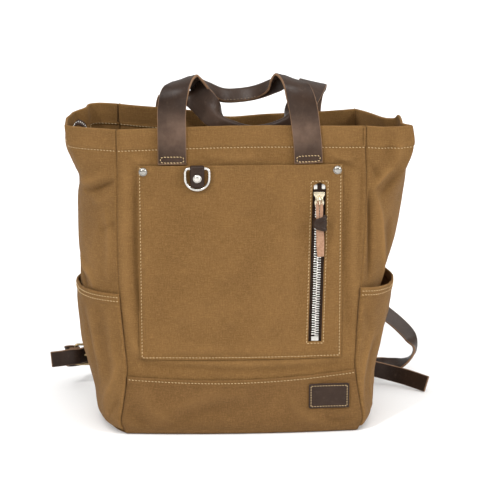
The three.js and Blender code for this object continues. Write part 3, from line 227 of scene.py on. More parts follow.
# Folds of the walls. line: places (millimetres across the wall, millimetres up). wide: half its width. high: how
# far it stands out, inward where negative. crisp: 1 for a pressed crease, 0 for a soft swell.
wall_folds = {
    "front": [
        {"line": [(9, 326), (9, 256), (8, 163), (10, 80)], "wide": 5.5, "high": 2.3, "crisp": 0.1},
        {"line": [(3, 318), (2, 300), (5, 286)], "wide": 3, "high": -2.2, "crisp": 0.4},
        {"line": [(20.8, 316), (20.8, 210), (20.8, 90)], "wide": 2.6, "high": -3.2, "crisp": 0.3},
        {"line": [(266, 314), (267, 229), (268, 124)], "wide": 4.5, "high": 2.0, "crisp": 0.1},
        {"line": [(258.5, 316), (258.5, 210), (258.5, 95)], "wide": 2.4, "high": -1.4, "crisp": 0},
        {"line": [(275, 321), (276, 276), (274, 183)], "wide": 3, "high": -1.8, "crisp": 0.2},
        {"line": [(236, 334), (250, 324), (268, 322)], "wide": 4, "high": 2.2, "crisp": 0.3},
        {"line": [(244, 325), (256, 318), (270, 310)], "wide": 3, "high": -2.0, "crisp": 0.3},
        {"line": [(14, 330), (24, 323), (38, 321)], "wide": 4, "high": 1.6, "crisp": 0.2},
        {"line": [(96, 334), (120, 326), (170, 326)], "wide": 5, "high": 1.3, "crisp": 0},
        {"line": [(6, 104), (40, 92), (138, 87), (230, 90), (272, 102)], "wide": 5, "high": 1.7, "crisp": 0.2},
        {"line": [(4, 88), (60, 83), (140, 79), (220, 82), (262, 88)], "wide": 4, "high": -1.2, "crisp": 0.2},
        {"line": [(8, 118), (16, 102), (30, 90)], "wide": 4, "high": 1.8, "crisp": 0.3},
    ],
    # across the gussets a place is measured along the cloth from the front seam
    "left": [
        {"line": [(50, 282), (30, 287), (14, 294), (0, 301)], "wide": 2.8, "high": -3.2, "crisp": 0.8},
        {"line": [(58, 291), (34, 297), (12, 306)], "wide": 5, "high": 2.4, "crisp": 0.4},
        {"line": [(36, 272), (20, 276), (4, 284)], "wide": 5, "high": 1.6, "crisp": 0.2},
        {"line": [(78, 205), (60, 192), (44, 186), (34, 170)], "wide": 6, "high": 2.8, "crisp": 0.4},
        {"line": [(84, 190), (66, 178), (52, 168)], "wide": 6, "high": -2.6, "crisp": 0.2},
        {"line": [(24, 240), (12, 246), (0, 252)], "wide": 3.5, "high": -1.6, "crisp": 0.5},
        {"line": [(16, 272), (11, 231), (15, 180)], "wide": 5, "high": 1.8, "crisp": 0.2},
        {"line": [(98, 364), (92, 338), (84, 316), (70, 300)], "wide": 6, "high": 3.2, "crisp": 0.4},
        {"line": [(110, 364), (105, 336), (100, 310)], "wide": 5, "high": -3.4, "crisp": 0.4},
        {"line": [(121, 366), (118, 336), (114, 300)], "wide": 5, "high": 2.8, "crisp": 0.4},
        {"line": [(133, 366), (132, 330), (128, 280)], "wide": 6, "high": -3.0, "crisp": 0.2},
        {"line": [(170, 330), (160, 280), (150, 220)], "wide": 14, "high": -3.2, "crisp": 0},
        {"line": [(186, 310), (178, 250), (160, 190)], "wide": 9, "high": 2.4, "crisp": 0.1},
        {"line": [(90, 280), (92, 240), (88, 200)], "wide": 9, "high": 2.0, "crisp": 0},
    ],
    "right": [
        {"line": [(34, 312), (24, 306), (15, 296), (5, 285)], "wide": 3.4, "high": 3.6, "crisp": 0.8},
        {"line": [(44, 306), (32, 296), (24, 286), (18, 276)], "wide": 6, "high": -2.0, "crisp": 0.1},
        {"line": [(8, 288), (15, 270), (20, 256), (27, 219), (38, 186), (46, 162)],
         "wide": 3.8, "high": 4.2, "crisp": 0.95},
        {"line": [(2, 288), (6, 262), (9, 222), (13, 178)], "wide": 3.4, "high": -4.0, "crisp": 0.5},
        {"line": [(34, 250), (44, 220), (58, 190)], "wide": 7, "high": -2.4, "crisp": 0.1},
        {"line": [(0, 318), (10, 308), (14, 296)], "wide": 3, "high": -1.6, "crisp": 0.5},
        {"line": [(40, 352), (39, 330), (36, 312)], "wide": 5, "high": 2.0, "crisp": 0.3},
        {"line": [(28, 352), (26, 334), (24, 318)], "wide": 5, "high": -1.4, "crisp": 0.1},
        {"line": [(70, 364), (66, 336), (62, 310)], "wide": 6, "high": -0.8, "crisp": 0.1},
        {"line": [(84, 300), (74, 250), (66, 205)], "wide": 8, "high": 1.0, "crisp": 0.1},
        {"line": [(118, 330), (112, 280), (116, 225)], "wide": 12, "high": -3.4, "crisp": 0},
        {"line": [(150, 320), (146, 270), (136, 205)], "wide": 8, "high": 2.8, "crisp": 0.2},
    ],
    "back": [
        {"line": [(60, 335), (70, 250), (66, 160)], "wide": 14, "high": -3.0, "crisp": 0},
        {"line": [(205, 335), (200, 240), (212, 150)], "wide": 14, "high": -3.0, "crisp": 0},
        {"line": [(20, 300), (60, 270), (110, 262)], "wide": 7, "high": 2.4, "crisp": 0.4},
        {"line": [(262, 300), (220, 268), (180, 262)], "wide": 7, "high": 2.4, "crisp": 0.4},
        {"line": [(120, 330), (150, 300), (170, 240)], "wide": 8, "high": 1.6, "crisp": 0.2},
        {"line": [(40, 120), (110, 104), (190, 108), (245, 124)], "wide": 9, "high": 1.8, "crisp": 0.1},
        {"line": [(12, 310), (10, 200), (14, 90)], "wide": 5, "high": 1.8, "crisp": 0.1},
        {"line": [(268, 310), (270, 200), (266, 90)], "wide": 5, "high": 1.8, "crisp": 0.1},
    ],
}


def curve(keys, values, place):
    """Values of a table's column at places along it, smooth, and exact at its rows"""
    place = np.clip(place, keys[0], keys[-1])
    i = np.clip(np.searchsorted(keys, place, side="left") - 1, 0, len(keys) - 2)
    before = np.clip(np.arange(len(keys)) - 1, 0, None)
    after = np.clip(np.arange(len(keys)) + 1, None, len(keys) - 1)
    slope = (values[after] - values[before]) / (keys[after] - keys[before])
    span = keys[i + 1] - keys[i]
    t = (place - keys[i]) / span
    return ((2 * t**3 - 3 * t**2 + 1) * values[i] + (t**3 - 2 * t**2 + t) * span * slope[i]
            + (3 * t**2 - 2 * t**3) * values[i + 1] + (t**3 - t**2) * span * slope[i + 1])


def section(column, z):
    return curve(section_rows[:, 0], section_rows[:, column], z / bag_height)


def ease(t):
    t = np.clip(t, 0, 1)
    return t * t * (3 - 2 * t)


def seam_x(side, z):
    return -half_width * section(1, z) if side == "left" else half_width * section(2, z)


def face_y(wall, x, z):
    """Depth of the front's or the back's outer face"""
    across = (x - seam_x("left", z)) / (seam_x("right", z) - seam_x("left", z))
    crown = 1 - (2 * across - 1) ** 2
    if wall == "front":
        return -half_depth * section(3, z) - front_belly * section(5, z) * crown
    lean = ease((z / bag_height - 0.6) / 0.4)
    return half_depth * section(4, z) + (back_belly * section(5, z) - back_sag * lean) * crown


def gusset_point(side, t, z):
    """Outer face of a gusset; t runs from its front seam to its back seam"""
    steps = np.linspace(0, 1, 8)
    share = ease((z / bag_height - 0.72) / 0.26)
    along, out = ((1 - share) * curve(steps, body_plan[:, k], t) + share * curve(steps, rim_plan[side][:, k], t)
                  for k in (0, 1))
    seam = seam_x(side, z)
    way = -1 if side == "left" else 1
    reach = gusset_reach[side] * section(6 if side == "left" else 7, z)
    front, back = face_y("front", seam, z), face_y("back", seam, z)
    return np.stack([seam + way * reach * out, front + (back - front) * along, z], -1)


def wall_point(wall, t, z):
    if wall in ("left", "right"):
        return gusset_point(wall, t, z)
    x = seam_x("left", z) + (seam_x("right", z) - seam_x("left", z)) * t
    return np.stack([x, face_y(wall, x, z), z], -1)


def fold_height(u, v, folds):
    """Height of a set of folds at places given in millimetres"""
    total = np.zeros(np.broadcast(u, v).shape)
    for fold in folds:
        line = np.array(fold["line"], float)
        steps = np.linspace(0, len(line) - 1, 9 * (len(line) - 1) + 1)
        keys = np.arange(len(line), dtype=float)
        path = np.stack([curve(keys, line[:, 0], steps), curve(keys, line[:, 1], steps)], -1)
        nearest = np.full(total.shape, 1e9)
        along = np.zeros(total.shape)
        for k, (a, b) in enumerate(zip(path[:-1], path[1:])):
            s = np.clip(((u - a[0]) * (b - a)[0] + (v - a[1]) * (b - a)[1]) / ((b - a) ** 2).sum(), 0, 1)
            d = np.hypot(u - a[0] - s * (b - a)[0], v - a[1] - s * (b - a)[1])
            closer = d < nearest
            nearest = np.where(closer, d, nearest)
            along = np.where(closer, (k + s) / (len(path) - 1), along)
        d = nearest / fold["wide"]
        soft, sharp = np.exp(-d * d), np.exp(-np.sqrt(d * d * 2.2 + 0.04) + 0.2)
        taper = np.sin(np.pi * np.clip(along, 0, 1)) ** 0.6
        total += fold["high"] * taper * ((1 - fold["crisp"]) * soft + fold["crisp"] * sharp)
    return total


def ripple(u, v, seed, size, waves=9):
    """Small waves of the cloth, about 1 high, from a fixed seed"""
    lot = np.random.default_rng(seed)
    total = 0
    for _ in range(waves):
        angle, length = lot.uniform(0, math.pi), size * lot.uniform(0.6, 1.8)
        phase = lot.uniform(0, 2 * math.pi)
        total = total + np.sin(2 * math.pi * (u * math.cos(angle) + v * math.sin(angle)) / length + phase)
    return total / math.sqrt(waves)


def places(low, high, step, extra=(), round_off=0.0008):
    """Even places with closer ones at both ends and at each extra place"""
    even = list(np.linspace(low, high, max(2, int(round((high - low) / step))) + 1))
    ends = [e + s * round_off * k for e, s in ((low, 1), (high, -1)) for k in (0.12, 0.45, 1.0)]
    near = [x + d for x in extra for d in (-0.0016, -0.0007, 0, 0.0007, 0.0016)]
    close = sorted(x for x in ends + near if low < x < high)
    kept = [x for x in even if all(abs(x - c) > step * 0.3 for c in close) or x in (low, high)]
    return np.array(sorted(kept + close))


def along_cloth(grid):
    """Distance along each row of a grid, seen from above"""
    step = np.linalg.norm(np.diff(grid[..., :2], axis=1), axis=-1)
    return np.hstack([np.zeros((len(grid), 1)), np.cumsum(step, 1)])


def normals_of(grid, outward):
    """Unit normals of a grid of points, on the side of the outward directions"""
    cross = np.cross(np.gradient(grid, axis=1), np.gradient(grid, axis=0))
    cross /= np.maximum(np.linalg.norm(cross, axis=-1, keepdims=True), 1e-12)
    return cross * np.where((cross * outward).sum(-1).mean() < 0, -1, 1)


def make_piece(name, points, faces, finish, body="bag", slot=None, marks=()):
    """A mesh object with a finish, named numbers on its points, and a body that it rides on"""
    mesh = bpy.data.meshes.new(name)
    mesh.from_pydata([tuple(p) for p in points], [], faces)
    for mark, values in dict(marks).items():
        values = np.asarray(values, np.float32)
        kind, field = ("FLOAT_VECTOR", "vector") if values.ndim == 2 else ("FLOAT", "value")
        mesh.attributes.new(mark, kind, "POINT").data.foreach_set(field, values.ravel())
    mesh.materials.append(finish.material)
    mesh.polygons.foreach_set("use_smooth", [True] * len(mesh.polygons))
    piece = bpy.data.objects.new(name, mesh)
    bpy.context.collection.objects.link(piece)
    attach(piece, body)
    return piece


def sheet(name, outer, thick, outward, finish, slot, weave, fold, hole=None, shade="fold"):
    """A closed sheet whose four edges are rounded

    outer: grid of its outer face. thick: its thickness. weave: places on the flat sheet. fold: numbers kept as the
    mark named shade. hole: cells of the grid that are left open.
    """
    rows, cols = outer.shape[:2]
    normal = normals_of(outer, outward)
    up = np.linalg.norm(np.diff(outer, axis=0), axis=-1)
    side = np.linalg.norm(np.diff(outer, axis=1), axis=-1)
    from_low = np.vstack([np.zeros(cols), np.cumsum(up, 0)])
    from_left = np.hstack([np.zeros((rows, 1)), np.cumsum(side, 1)])
    edge = np.minimum(np.minimum(from_low, from_low[-1:] - from_low),
                      np.minimum(from_left, from_left[:, -1:] - from_left))
    half = np.broadcast_to(thick, outer.shape[:2]) / 2
    keep = np.ones((rows - 1, cols - 1), bool) if hole is None else ~hole
    if hole is not None:
        touched = np.zeros((rows, cols), bool)
        for di in (0, 1):
            for dj in (0, 1):
                touched[di:rows - 1 + di, dj:cols - 1 + dj] |= hole
        edge = np.where(touched, 0, edge)
    thin = half * np.sqrt(1 - (1 - np.clip(edge / half, 0, 1)) ** 2)
    middle = outer - normal * half[..., None]
    layers = [middle + normal * thin[..., None], middle - normal * thin[..., None]]
    shared = thin < 1e-9
    number = np.arange(rows * cols).reshape(rows, cols)
    under = np.where(shared, number, number + rows * cols)
    first = np.cross(outer[0, 1] - outer[0, 0], outer[1, 0] - outer[0, 0])
    flip = (first * normal[0, 0]).sum() < 0
    faces = []
    for i in range(rows - 1):
        for j in range(cols - 1):
            if not keep[i, j]:
                continue
            top = [number[i, j], number[i, j + 1], number[i + 1, j + 1], number[i + 1, j]]
            low = [under[i, j], under[i + 1, j], under[i + 1, j + 1], under[i, j + 1]]
            faces += [[int(k) for k in (face[::-1] if flip else face)] for face in (top, low)]
    points = np.concatenate([layer.reshape(-1, 3) for layer in layers])
    marks = {"weave": np.tile(weave.reshape(-1, 3), (2, 1)), shade: np.tile(fold.ravel(), 2)}
    piece = make_piece(name, points, faces, finish, slot=slot, marks=marks)
    loose = [v.index for v, used in zip(piece.data.vertices, np.bincount(
        np.array([k for f in faces for k in f]), minlength=len(points))) if not used]
    if loose:
        work = bmesh.new()
        work.from_mesh(piece.data)
        work.verts.ensure_lookup_table()
        bmesh.ops.delete(work, geom=[work.verts[k] for k in loose], context="VERTS")
        work.to_mesh(piece.data)
        work.free()
    return piece


def canvas(name, colour):
    """Waxed cotton canvas: a plain weave of about 1 mm, uneven threads and wax, painted shade in the weave's
    hollows, and from the mark named fold painted highlight on fold ridges and painted shade in fold valleys and
    seam grooves
    """
    finish = Finish(name, colour, 0.85, Sheen_Weight=0.02, Sheen_Roughness=0.5, Specular_IOR_Level=0.14)
    spot = finish.node("Attribute", {"attribute_name": "weave"}, out=1)
    parts = finish.node("SeparateXYZ", inputs={0: spot})
    warp = parts * (math.pi / 0.0010)
    weft = Wire(finish, parts.socket.node.outputs[1]) * (math.pi / 0.0011)
    fold = finish.node("Attribute", {"attribute_name": "fold"}, out=2)
    over = (warp.sine() * weft.sine()) > 0.0
    thread = over * warp.sine().size() + (1 - over) * weft.sine().size()
    stretched = lambda x, y: finish.node("VectorMath", {"operation": "MULTIPLY"}, {0: spot, 1: (x, y, 1)})
    slub = finish.noise(stretched(820, 120), 1.0, 2, 0.7) + finish.noise(stretched(110, 760), 1.0, 2, 0.7)
    grain = finish.noise(spot, 640, 2, 0.8)
    wax = finish.noise(spot, 26, 5, 0.6)
    blotch = finish.noise(spot, 8, 3, 0.5)
    shade = lambda r, g, b: tuple(min(1, c * k) for c, k in zip(colour, (r, g, b)))
    base = finish.mix((wax - 0.34) * 1.7, shade(0.76, 0.75, 0.72), colour)
    base = finish.mix((blotch - 0.40) * 1.3, base, finish.mix(0.55, base, shade(1.18, 1.2, 1.3)))
    base = finish.mix(finish.node("Clamp", inputs={0: (slub - 1.0) * 1.7}), base, shade(1.4, 1.42, 1.55))
    base = finish.mix(finish.node("Clamp", inputs={0: (1.0 - slub) * 1.7}), base, shade(0.66, 0.64, 0.58))
    base = finish.mix(finish.node("Clamp", inputs={0: (grain - 0.5) * 2.0}), base, shade(1.45, 1.48, 1.6))
    base = finish.mix(finish.node("Clamp", inputs={0: (0.5 - grain) * 1.9}), base, shade(0.55, 0.52, 0.45))
    # painted shade in the hollows between the threads
    base = finish.mix((1 - thread) * 0.3, base, shade(0.42, 0.4, 0.35))
    # painted highlight on the ridges of folds and painted shade in their valleys and in the seam grooves, from the
    # mark named fold
    base = finish.mix(finish.node("Clamp", inputs={0: fold * 0.13}), base, shade(1.35, 1.4, 1.55))
    base = finish.mix(finish.node("Clamp", inputs={0: fold * -0.22}), base, shade(0.5, 0.46, 0.38))
    finish.put("Base Color", base)
    finish.put("Roughness", 0.78 + wax * 0.16)
    fine = finish.bump(thread + slub * 0.8, 0.0003, 0.9)
    finish.put("Normal", finish.bump(wax, 0.0006, 0.35, fine))
    return finish


tobacco = canvas("tobacco_canvas", (0.216, 0.113, 0.036))
walls = {}
for wall, node, low in (("front", "front_panel", 0.056), ("right", "gusset_right", 0.003),
                        ("back", "back_panel", 0.056), ("left", "gusset_left", 0.003)):
    wide = wall_wide[wall]
    t = places(0, wide, 0.0027, round_off=0.002) / wide
    if wall in gusset_reach:
        near = np.linspace(0, 0.045, 46)
        t = np.concatenate([[0, 0.0003], near[1:], np.linspace(0.045, wide - 0.045, 34)[1:-1],
                            wide - near[:0:-1], [wide - 0.0003, wide]]) / wide
    z = places(low, bag_height, 0.0027, extra=(bag_height - hem_depth,), round_off=0.0016)
    t, z = np.meshgrid(t, z)
    rim = bag_height * curve(rim_high[wall][:, 0], rim_high[wall][:, 1], t)
    height = z + (rim - bag_height) * ease((z - 0.25) / 0.085)
    grid = wall_point(wall, t, height)
    u, v = along_cloth(grid) / mm, height / mm
    hem_line = (bag_height - hem_depth) / mm
    in_hem = ease((z / mm - hem_line) / 4)
    fade = ease((v - low / mm - 2) / 12) * (1 - (0.3 if wall in gusset_reach else 0.7) * in_hem)
    swell = fold_height(u, v, wall_folds[wall]) * fade * (1.3 if wall in gusset_reach else 1)
    swell += ripple(u, v, 3 + len(walls), 70) * 0.5 + ripple(u, v, 13 + len(walls), 22) * 0.13
    to_seam = np.minimum(u, u[:, -1:] - u)
    swell *= ease(to_seam / 5) * 0.85 + 0.15
    stitched = np.exp(-((z / mm - hem_line) / 1.1) ** 2)
    swell -= 0.45 * stitched * (0.8 + 0.2 * np.sin(2 * np.pi * u / 3.6))
    swell += 0.35 * np.exp(-((z / mm - hem_line - 4) / 3) ** 2) + 0.25 * ease((z / mm - hem_line) / 2)
    groove = np.exp(-(to_seam / 1.2) ** 2) * (1 - 0.65 * in_hem)
    outward = grid * (1, 1, 0)
    normal = normals_of(grid, outward)
    grid = grid + normal * ((swell - 1.5 * groove) * mm)[..., None]
    inward = np.stack([-np.sign(grid[..., 0]), -np.sign(grid[..., 1]), 0 * u], -1) * 0.0014
    grid = np.where((to_seam < 0.05)[..., None], grid + inward, grid)
    hemmed = ease((z / mm - hem_line + 0.4) / 0.8)
    thick = cloth_thick * (1 + hemmed)
    weave = np.stack([u * mm, v * mm, 0 * u + len(walls)], -1)
    # The mark named fold is the folds' height less the seam groove: the canvas paints highlight on its ridges and
    # shade in its valleys and seam grooves.
    piece = sheet("canvas_" + node, grid, thick, outward, tobacco, "canvas", weave, swell - 1.3 * groove)
    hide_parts(node)
    walls[wall] = {"t": t[0], "z": z[:, 0], "grid": grid, "normal": normals_of(grid, outward), "thick": thick}


def on_wall(wall, t, z):
    """Point and outward normal on a finished wall, at shares across it and nominal heights"""
    made = walls[wall]
    j = np.clip(np.searchsorted(made["t"], t) - 1, 0, len(made["t"]) - 2)
    i = np.clip(np.searchsorted(made["z"], z) - 1, 0, len(made["z"]) - 2)
    a = ((t - made["t"][j]) / (made["t"][j + 1] - made["t"][j]))[..., None]
    b = ((z - made["z"][i]) / (made["z"][i + 1] - made["z"][i]))[..., None]
    found = []
    for field in ("grid", "normal"):
        g = made[field]
        below = g[i, j] * (1 - a) + g[i, j + 1] * a
        above = g[i + 1, j] * (1 - a) + g[i + 1, j + 1] * a
        found.append(below * (1 - b) + above * b)
    return found


# The hem's stitches: pale tan thread of 0.8 mm, one row all round 24.5 mm under the rim, 3.8 mm a stitch. It
# shows on both faces, so the same row runs along the inside of the mouth.
thread_tan = Finish("pale_tan_thread", (0.60, 0.44, 0.23), 0.7, Specular_IOR_Level=0.25)
thread_tan.mottle(260, 3, (0.36, 0.24, 0.11), (0.68, 0.51, 0.29))
ply = thread_tan.node("TexWave", {"wave_type": "BANDS", "bands_direction": "DIAGONAL"},
                      {"Vector": thread_tan.place(), "Scale": 900, "Distortion": 0.5}, out=1)
thread_tan.put("Normal", thread_tan.bump(ply, 0.0001, 0.6))


def stitches(name, runs, finish=None, pitch=0.0038, thick=0.0008, share=0.62, slot="canvas", body="bag"):
    """Sewn stitches as one piece. runs: lists of points and normals that each row of stitches follows."""
    points, faces = [], []
    ring = 6
    for path, normal in runs:
        path, normal = np.asarray(path, float), np.asarray(normal, float)
        step = np.linalg.norm(np.diff(path, axis=0), axis=1)
        length = np.concatenate([[0], np.cumsum(step)])
        count = max(1, int(round(length[-1] / pitch)))
        own = length[-1] / count
        stations = np.array([(-0.5 * share, -0.55, 0.35), (-0.42 * share, 0.1, 0.85), (-0.2 * share, 0.42, 1.0),
                             (0.2 * share, 0.42, 1.0), (0.42 * share, 0.1, 0.85), (0.5 * share, -0.55, 0.35)])
        for k in range(count):
            centre = (k + 0.5) * own
            at = np.stack([np.interp(centre + stations[:, 0] * own, length, path[:, c]) for c in range(3)], -1)
            out = np.array([np.interp(centre, length, normal[:, c]) for c in range(3)])
            out /= np.linalg.norm(out)
            way = at[-1] - at[0]
            way /= max(np.linalg.norm(way), 1e-9)
            side = np.cross(way, out)
            side /= max(np.linalg.norm(side), 1e-9)
            start = len(points)
            lean = side * thick * 0.25
            for (s, lift, fat), p in zip(stations, at):
                middle = p + out * lift * thick + lean * (s / (0.5 * share))
                for a in range(ring):
                    angle = 2 * math.pi * a / ring
                    points.append(middle + (side * math.cos(angle) + out * math.sin(angle)) * thick / 2 * fat)
            for s in range(len(stations) - 1):
                for a in range(ring):
                    b = (a + 1) % ring
                    faces.append([start + s * ring + a, start + (s + 1) * ring + a,
                                  start + (s + 1) * ring + b, start + s * ring + b])
            faces.append([start + a for a in range(ring)])
            faces.append([start + (len(stations) - 1) * ring + a for a in reversed(range(ring))])
    return make_piece(name, points, faces, finish or thread_tan, body=body, slot=slot)


hem_runs = []
for wall in walls:
    t = np.linspace(0.004, 0.996, 160)
    at, normal = on_wall(wall, t, np.full(t.shape, bag_height - hem_depth))
    hem_runs += [(at, normal), (at - normal * 1.55 * cloth_thick, -normal)]
stitches("hem_stitches", hem_runs)


# Base band: one piece of the same canvas under the bag and up its front and back, its top edge turned under and
# stitched down 3.5 mm below the fold. Its lower corners are creased where the bag stands on them.
band_high, band_turn, band_thick = 0.070, 0.006, 0.0016
band_gap = 0.0019
band_folds = [
    {"line": [(18, 60), (30, 34), (60, 14)], "wide": 8, "high": 1.5, "crisp": 0.2},
    {"line": [(40, 20), (90, 44), (150, 50)], "wide": 10, "high": 1.3, "crisp": 0.1},
    {"line": [(48, 8), (95, 30), (140, 36)], "wide": 9, "high": -1.2, "crisp": 0.1},
    {"line": [(196, 52), (204, 30), (226, 12)], "wide": 6, "high": 1.4, "crisp": 0.4},
    {"line": [(232, 24), (250, 14), (268, 16)], "wide": 5, "high": -1.6, "crisp": 0.4},
    {"line": [(226, 10), (250, 5), (272, 8)], "wide": 4, "high": 1.2, "crisp": 0.3},
    {"line": [(6, 40), (16, 22), (36, 8)], "wide": 5, "high": -1.2, "crisp": 0.3},
]


def band_top(share):
    return band_high + (2 + 5 * share - 6 * np.sin(np.pi * share)) * mm


def base_x(side, y, z):
    """How far the base reaches to a side at a depth"""
    seam = seam_x(side, z)
    front, back = face_y("front", seam, z), face_y("back", seam, z)
    reach = gusset_reach[side] * section(6 if side == "left" else 7, z)
    along = np.clip((y - front) / (back - front), 0, 1)
    return seam + (-1 if side == "left" else 1) * reach * curve(body_plan[:, 0], body_plan[:, 1], along)


share = places(0, 0.280, 0.0027, round_off=0.0016) / 0.280
line = [("back", h) for h in 1 - places(0, 1, 0.035, extra=(), round_off=0.02)]
line += [("back_turn", a) for a in np.linspace(0, math.pi / 2, 8)[1:]]
line += [("under", s) for s in np.linspace(0, 1, 24)[1:-1]]
line += [("front_turn", a) for a in np.linspace(math.pi / 2, 0, 8)[:-1]]
line += [("front", h) for h in places(0, 1, 0.035, extra=(), round_off=0.02)]
rows, cols = len(line), len(share)
grid = np.zeros((rows, cols, 3))
band_u, band_v, level = (np.zeros((rows, cols)) for _ in range(3))
run = 0.0
for i, (part, k) in enumerate(line):
    which = "back" if part.startswith("back") else "front"
    way = 1 if which == "back" else -1
    if part in ("back", "front"):
        z = band_turn + (band_top(share) - band_turn) * k
        x = seam_x("left", z) + 0.0003 + (seam_x("right", z) - seam_x("left", z) - 0.0006) * share
        y = face_y(which, x, z) + way * band_gap
    elif part == "under":
        y = np.full(cols, (face_y("back", 0.0, band_turn) + band_gap - band_turn) * (1 - k)
                    + (face_y("front", 0.0, band_turn) - band_gap + band_turn) * k)
        z = np.zeros(cols)
        x = base_x("left", y, z) + (base_x("right", y, z) - base_x("left", y, z)) * share
    else:
        z = np.full(cols, band_turn * (1 - math.sin(k)))
        middle = seam_x("left", z) + (seam_x("right", z) - seam_x("left", z)) * share
        y = face_y(which, middle, np.full(cols, band_turn)) + way * (band_gap - band_turn * (1 - math.cos(k)))
        x = base_x("left", y, z) + (base_x("right", y, z) - base_x("left", y, z)) * share
    grid[i] = np.stack([x, y, z], -1)
    if i:
        run += np.linalg.norm(grid[i, cols // 2] - grid[i - 1, cols // 2])
    band_u[i], band_v[i], level[i] = share * 280, run / mm, z / mm
outward = grid - np.array([0, 0, 0.05])
on_front = np.array([part == "front" for part, _ in line])[:, None]
swell = fold_height(band_u, level, band_folds) * on_front * ease((level - 6) / 8)
top_mm = band_top(share)[None, :] / mm
swell += ripple(band_u, band_v, 31, 60) * 0.35 * ease((level - 4) / 10)
swell += ripple(band_u, band_v, 32, 19) * 0.1 * ease(level / 8)
swell *= ease((top_mm - level) / 10) * 0.8 + 0.2
swell += (level > 20) * (0.8 * ease((9 - top_mm + level) / 2)
                         - 0.5 * np.exp(-((top_mm - level - 3.6) / 1.0) ** 2))
edge_mm = np.minimum(band_u, 280 - band_u)
groove = np.exp(-(edge_mm / 1.8) ** 2) * ease((level - 3) / 6)
band_normal = normals_of(grid, outward)
grid = grid + band_normal * ((swell - 1.1 * groove) * mm)[..., None]
grid[..., 2] = np.maximum(grid[..., 2], 0)
# The band is the same canvas painted about 15% darker: painted shade where the band turns down towards the floor
shaded_band_canvas = canvas("shaded_band_canvas", (0.184, 0.095, 0.031))
# The band's mark named fold is its folds' height less its edge groove, which is weighted more than the dent itself:
# the canvas paints highlight on the ridges and shade in the valleys and along the edges.
band = sheet("canvas_base_band", grid, band_thick, outward, shaded_band_canvas, "canvas",
             np.stack([band_u * mm, band_v * mm, 0 * band_u + 5], -1), swell - 1.6 * groove)
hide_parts("base_band")
band_normal = normals_of(grid, outward)
band_runs = []
for which, part in (("front", -1), ("back", 0)):
    index = [i for i, (p, _) in enumerate(line) if p == which]
    order = sorted(index, key=lambda i: level[i].mean())
    at, out = [], []
    for j in range(3, cols - 3, 2):
        heights = level[order, j]
        target = top_mm[0, j] - 3.6
        at.append([np.interp(target, heights, grid[order, j, c]) for c in range(3)])
        out.append(band_normal[order[len(order) // 2], j])
    band_runs.append((at, out))
stitches("band_stitches", band_runs)
band_line, band_points = line, grid


def front_face(x, z):
    """Depth of the finished front wall at a place"""
    left, right = seam_x("left", z), seam_x("right", z)
    return on_wall("front", np.clip((x - left) / (right - left), 0, 1), z)[0][..., 1]


# Front pocket: one flat piece of canvas, its edges turned under and stitched 3 mm in, and a long slot for its zip.
# The slot's lip is turned in as well, with its own row of stitches, and the cloth lies a little proud inside.
pocket_left, pocket_right, pocket_low, pocket_high = -0.117, 0.114, 0.093, 0.318
pocket_loft, pocket_roll = 0.0019, 0.009
slot_half, slot_low, slot_high = 0.0075, 0.113, 0.297
zip_top_x, zip_lean, zip_length = 0.0875, 0.0045, 0.184
pocket_folds = [
    {"line": [(4, 205), (5, 120), (7, 30)], "wide": 5, "high": 0.7, "crisp": 0},
    {"line": [(20, 8), (90, 12), (160, 7)], "wide": 8, "high": 0.9, "crisp": 0},
    {"line": [(30, 40), (90, 62), (150, 60)], "wide": 16, "high": 0.6, "crisp": 0},
    {"line": [(60, 216), (84, 190), (90, 150)], "wide": 12, "high": -0.6, "crisp": 0},
    {"line": [(168, 200), (172, 120), (170, 30)], "wide": 7, "high": 0.8, "crisp": 0},
    {"line": [(222, 190), (221, 120), (218, 30)], "wide": 4, "high": 0.5, "crisp": 0},
]


def zip_x(z):
    return zip_top_x - zip_lean * (slot_high - z) / zip_length


def slot_width(z):
    """Half the slot's width: its top is round, and above it the columns of the cloth spread again"""
    above = np.clip((z - (slot_high - slot_half)) / slot_half, 0, 1)
    spread = ease((z - slot_high) / 0.009)
    return np.maximum(slot_half * np.sqrt(1 - above**2), 0.0004) * (1 - spread) + slot_half * spread


slot_centre = zip_top_x - zip_lean / 2
near = np.array([0, 2.5, 5, 7.5, 8.1, 8.9, 10, 11.6, 13.4, 15]) * mm
columns = np.concatenate([places(pocket_left, slot_centre - 0.015, 0.0026)[:-1], slot_centre - near[::-1],
                          slot_centre + near[1:], places(slot_centre + 0.015, pocket_right, 0.0026)[1:]])
levels = places(pocket_low, pocket_high, 0.0026, extra=(slot_low,))
levels = levels[(levels < slot_high - slot_half - 0.001) | (levels > slot_high + 0.0012)]
round_end = slot_high - slot_half * (1 - np.sin(np.linspace(0, math.pi / 2, 10)))
levels = np.sort(np.concatenate([levels, round_end]))
aside, level = np.meshgrid(columns - slot_centre, levels)
half_slot = slot_width(level)
inside = np.abs(aside) <= slot_half + 1e-9
moved = np.where(inside, np.abs(aside) / slot_half * half_slot,
                 half_slot + (np.abs(aside) - slot_half) / (0.015 - slot_half) * (0.015 - half_slot))
moved = np.where(np.abs(aside) > 0.015, np.abs(aside), moved) * np.sign(aside)
lean_share = 1 - ease((np.abs(aside) - 0.015) / 0.012)
x = slot_centre + moved + (zip_x(level) - slot_centre) * lean_share
edge = np.minimum(np.minimum(x - pocket_left, pocket_right - x), level - pocket_low)
back = 0.0003 + pocket_loft * ease(edge / pocket_roll)
u, v = (x - pocket_left) / mm, (level - pocket_low) / mm
past_end = np.maximum(slot_low - level, 0) + np.maximum(level - slot_high, 0)
to_slot = np.hypot(np.maximum(np.abs(aside) - slot_half, 0), past_end)
swell = fold_height(u, v, pocket_folds) + ripple(u, v, 41, 48) * 0.35 + ripple(u, v, 42, 17) * 0.1
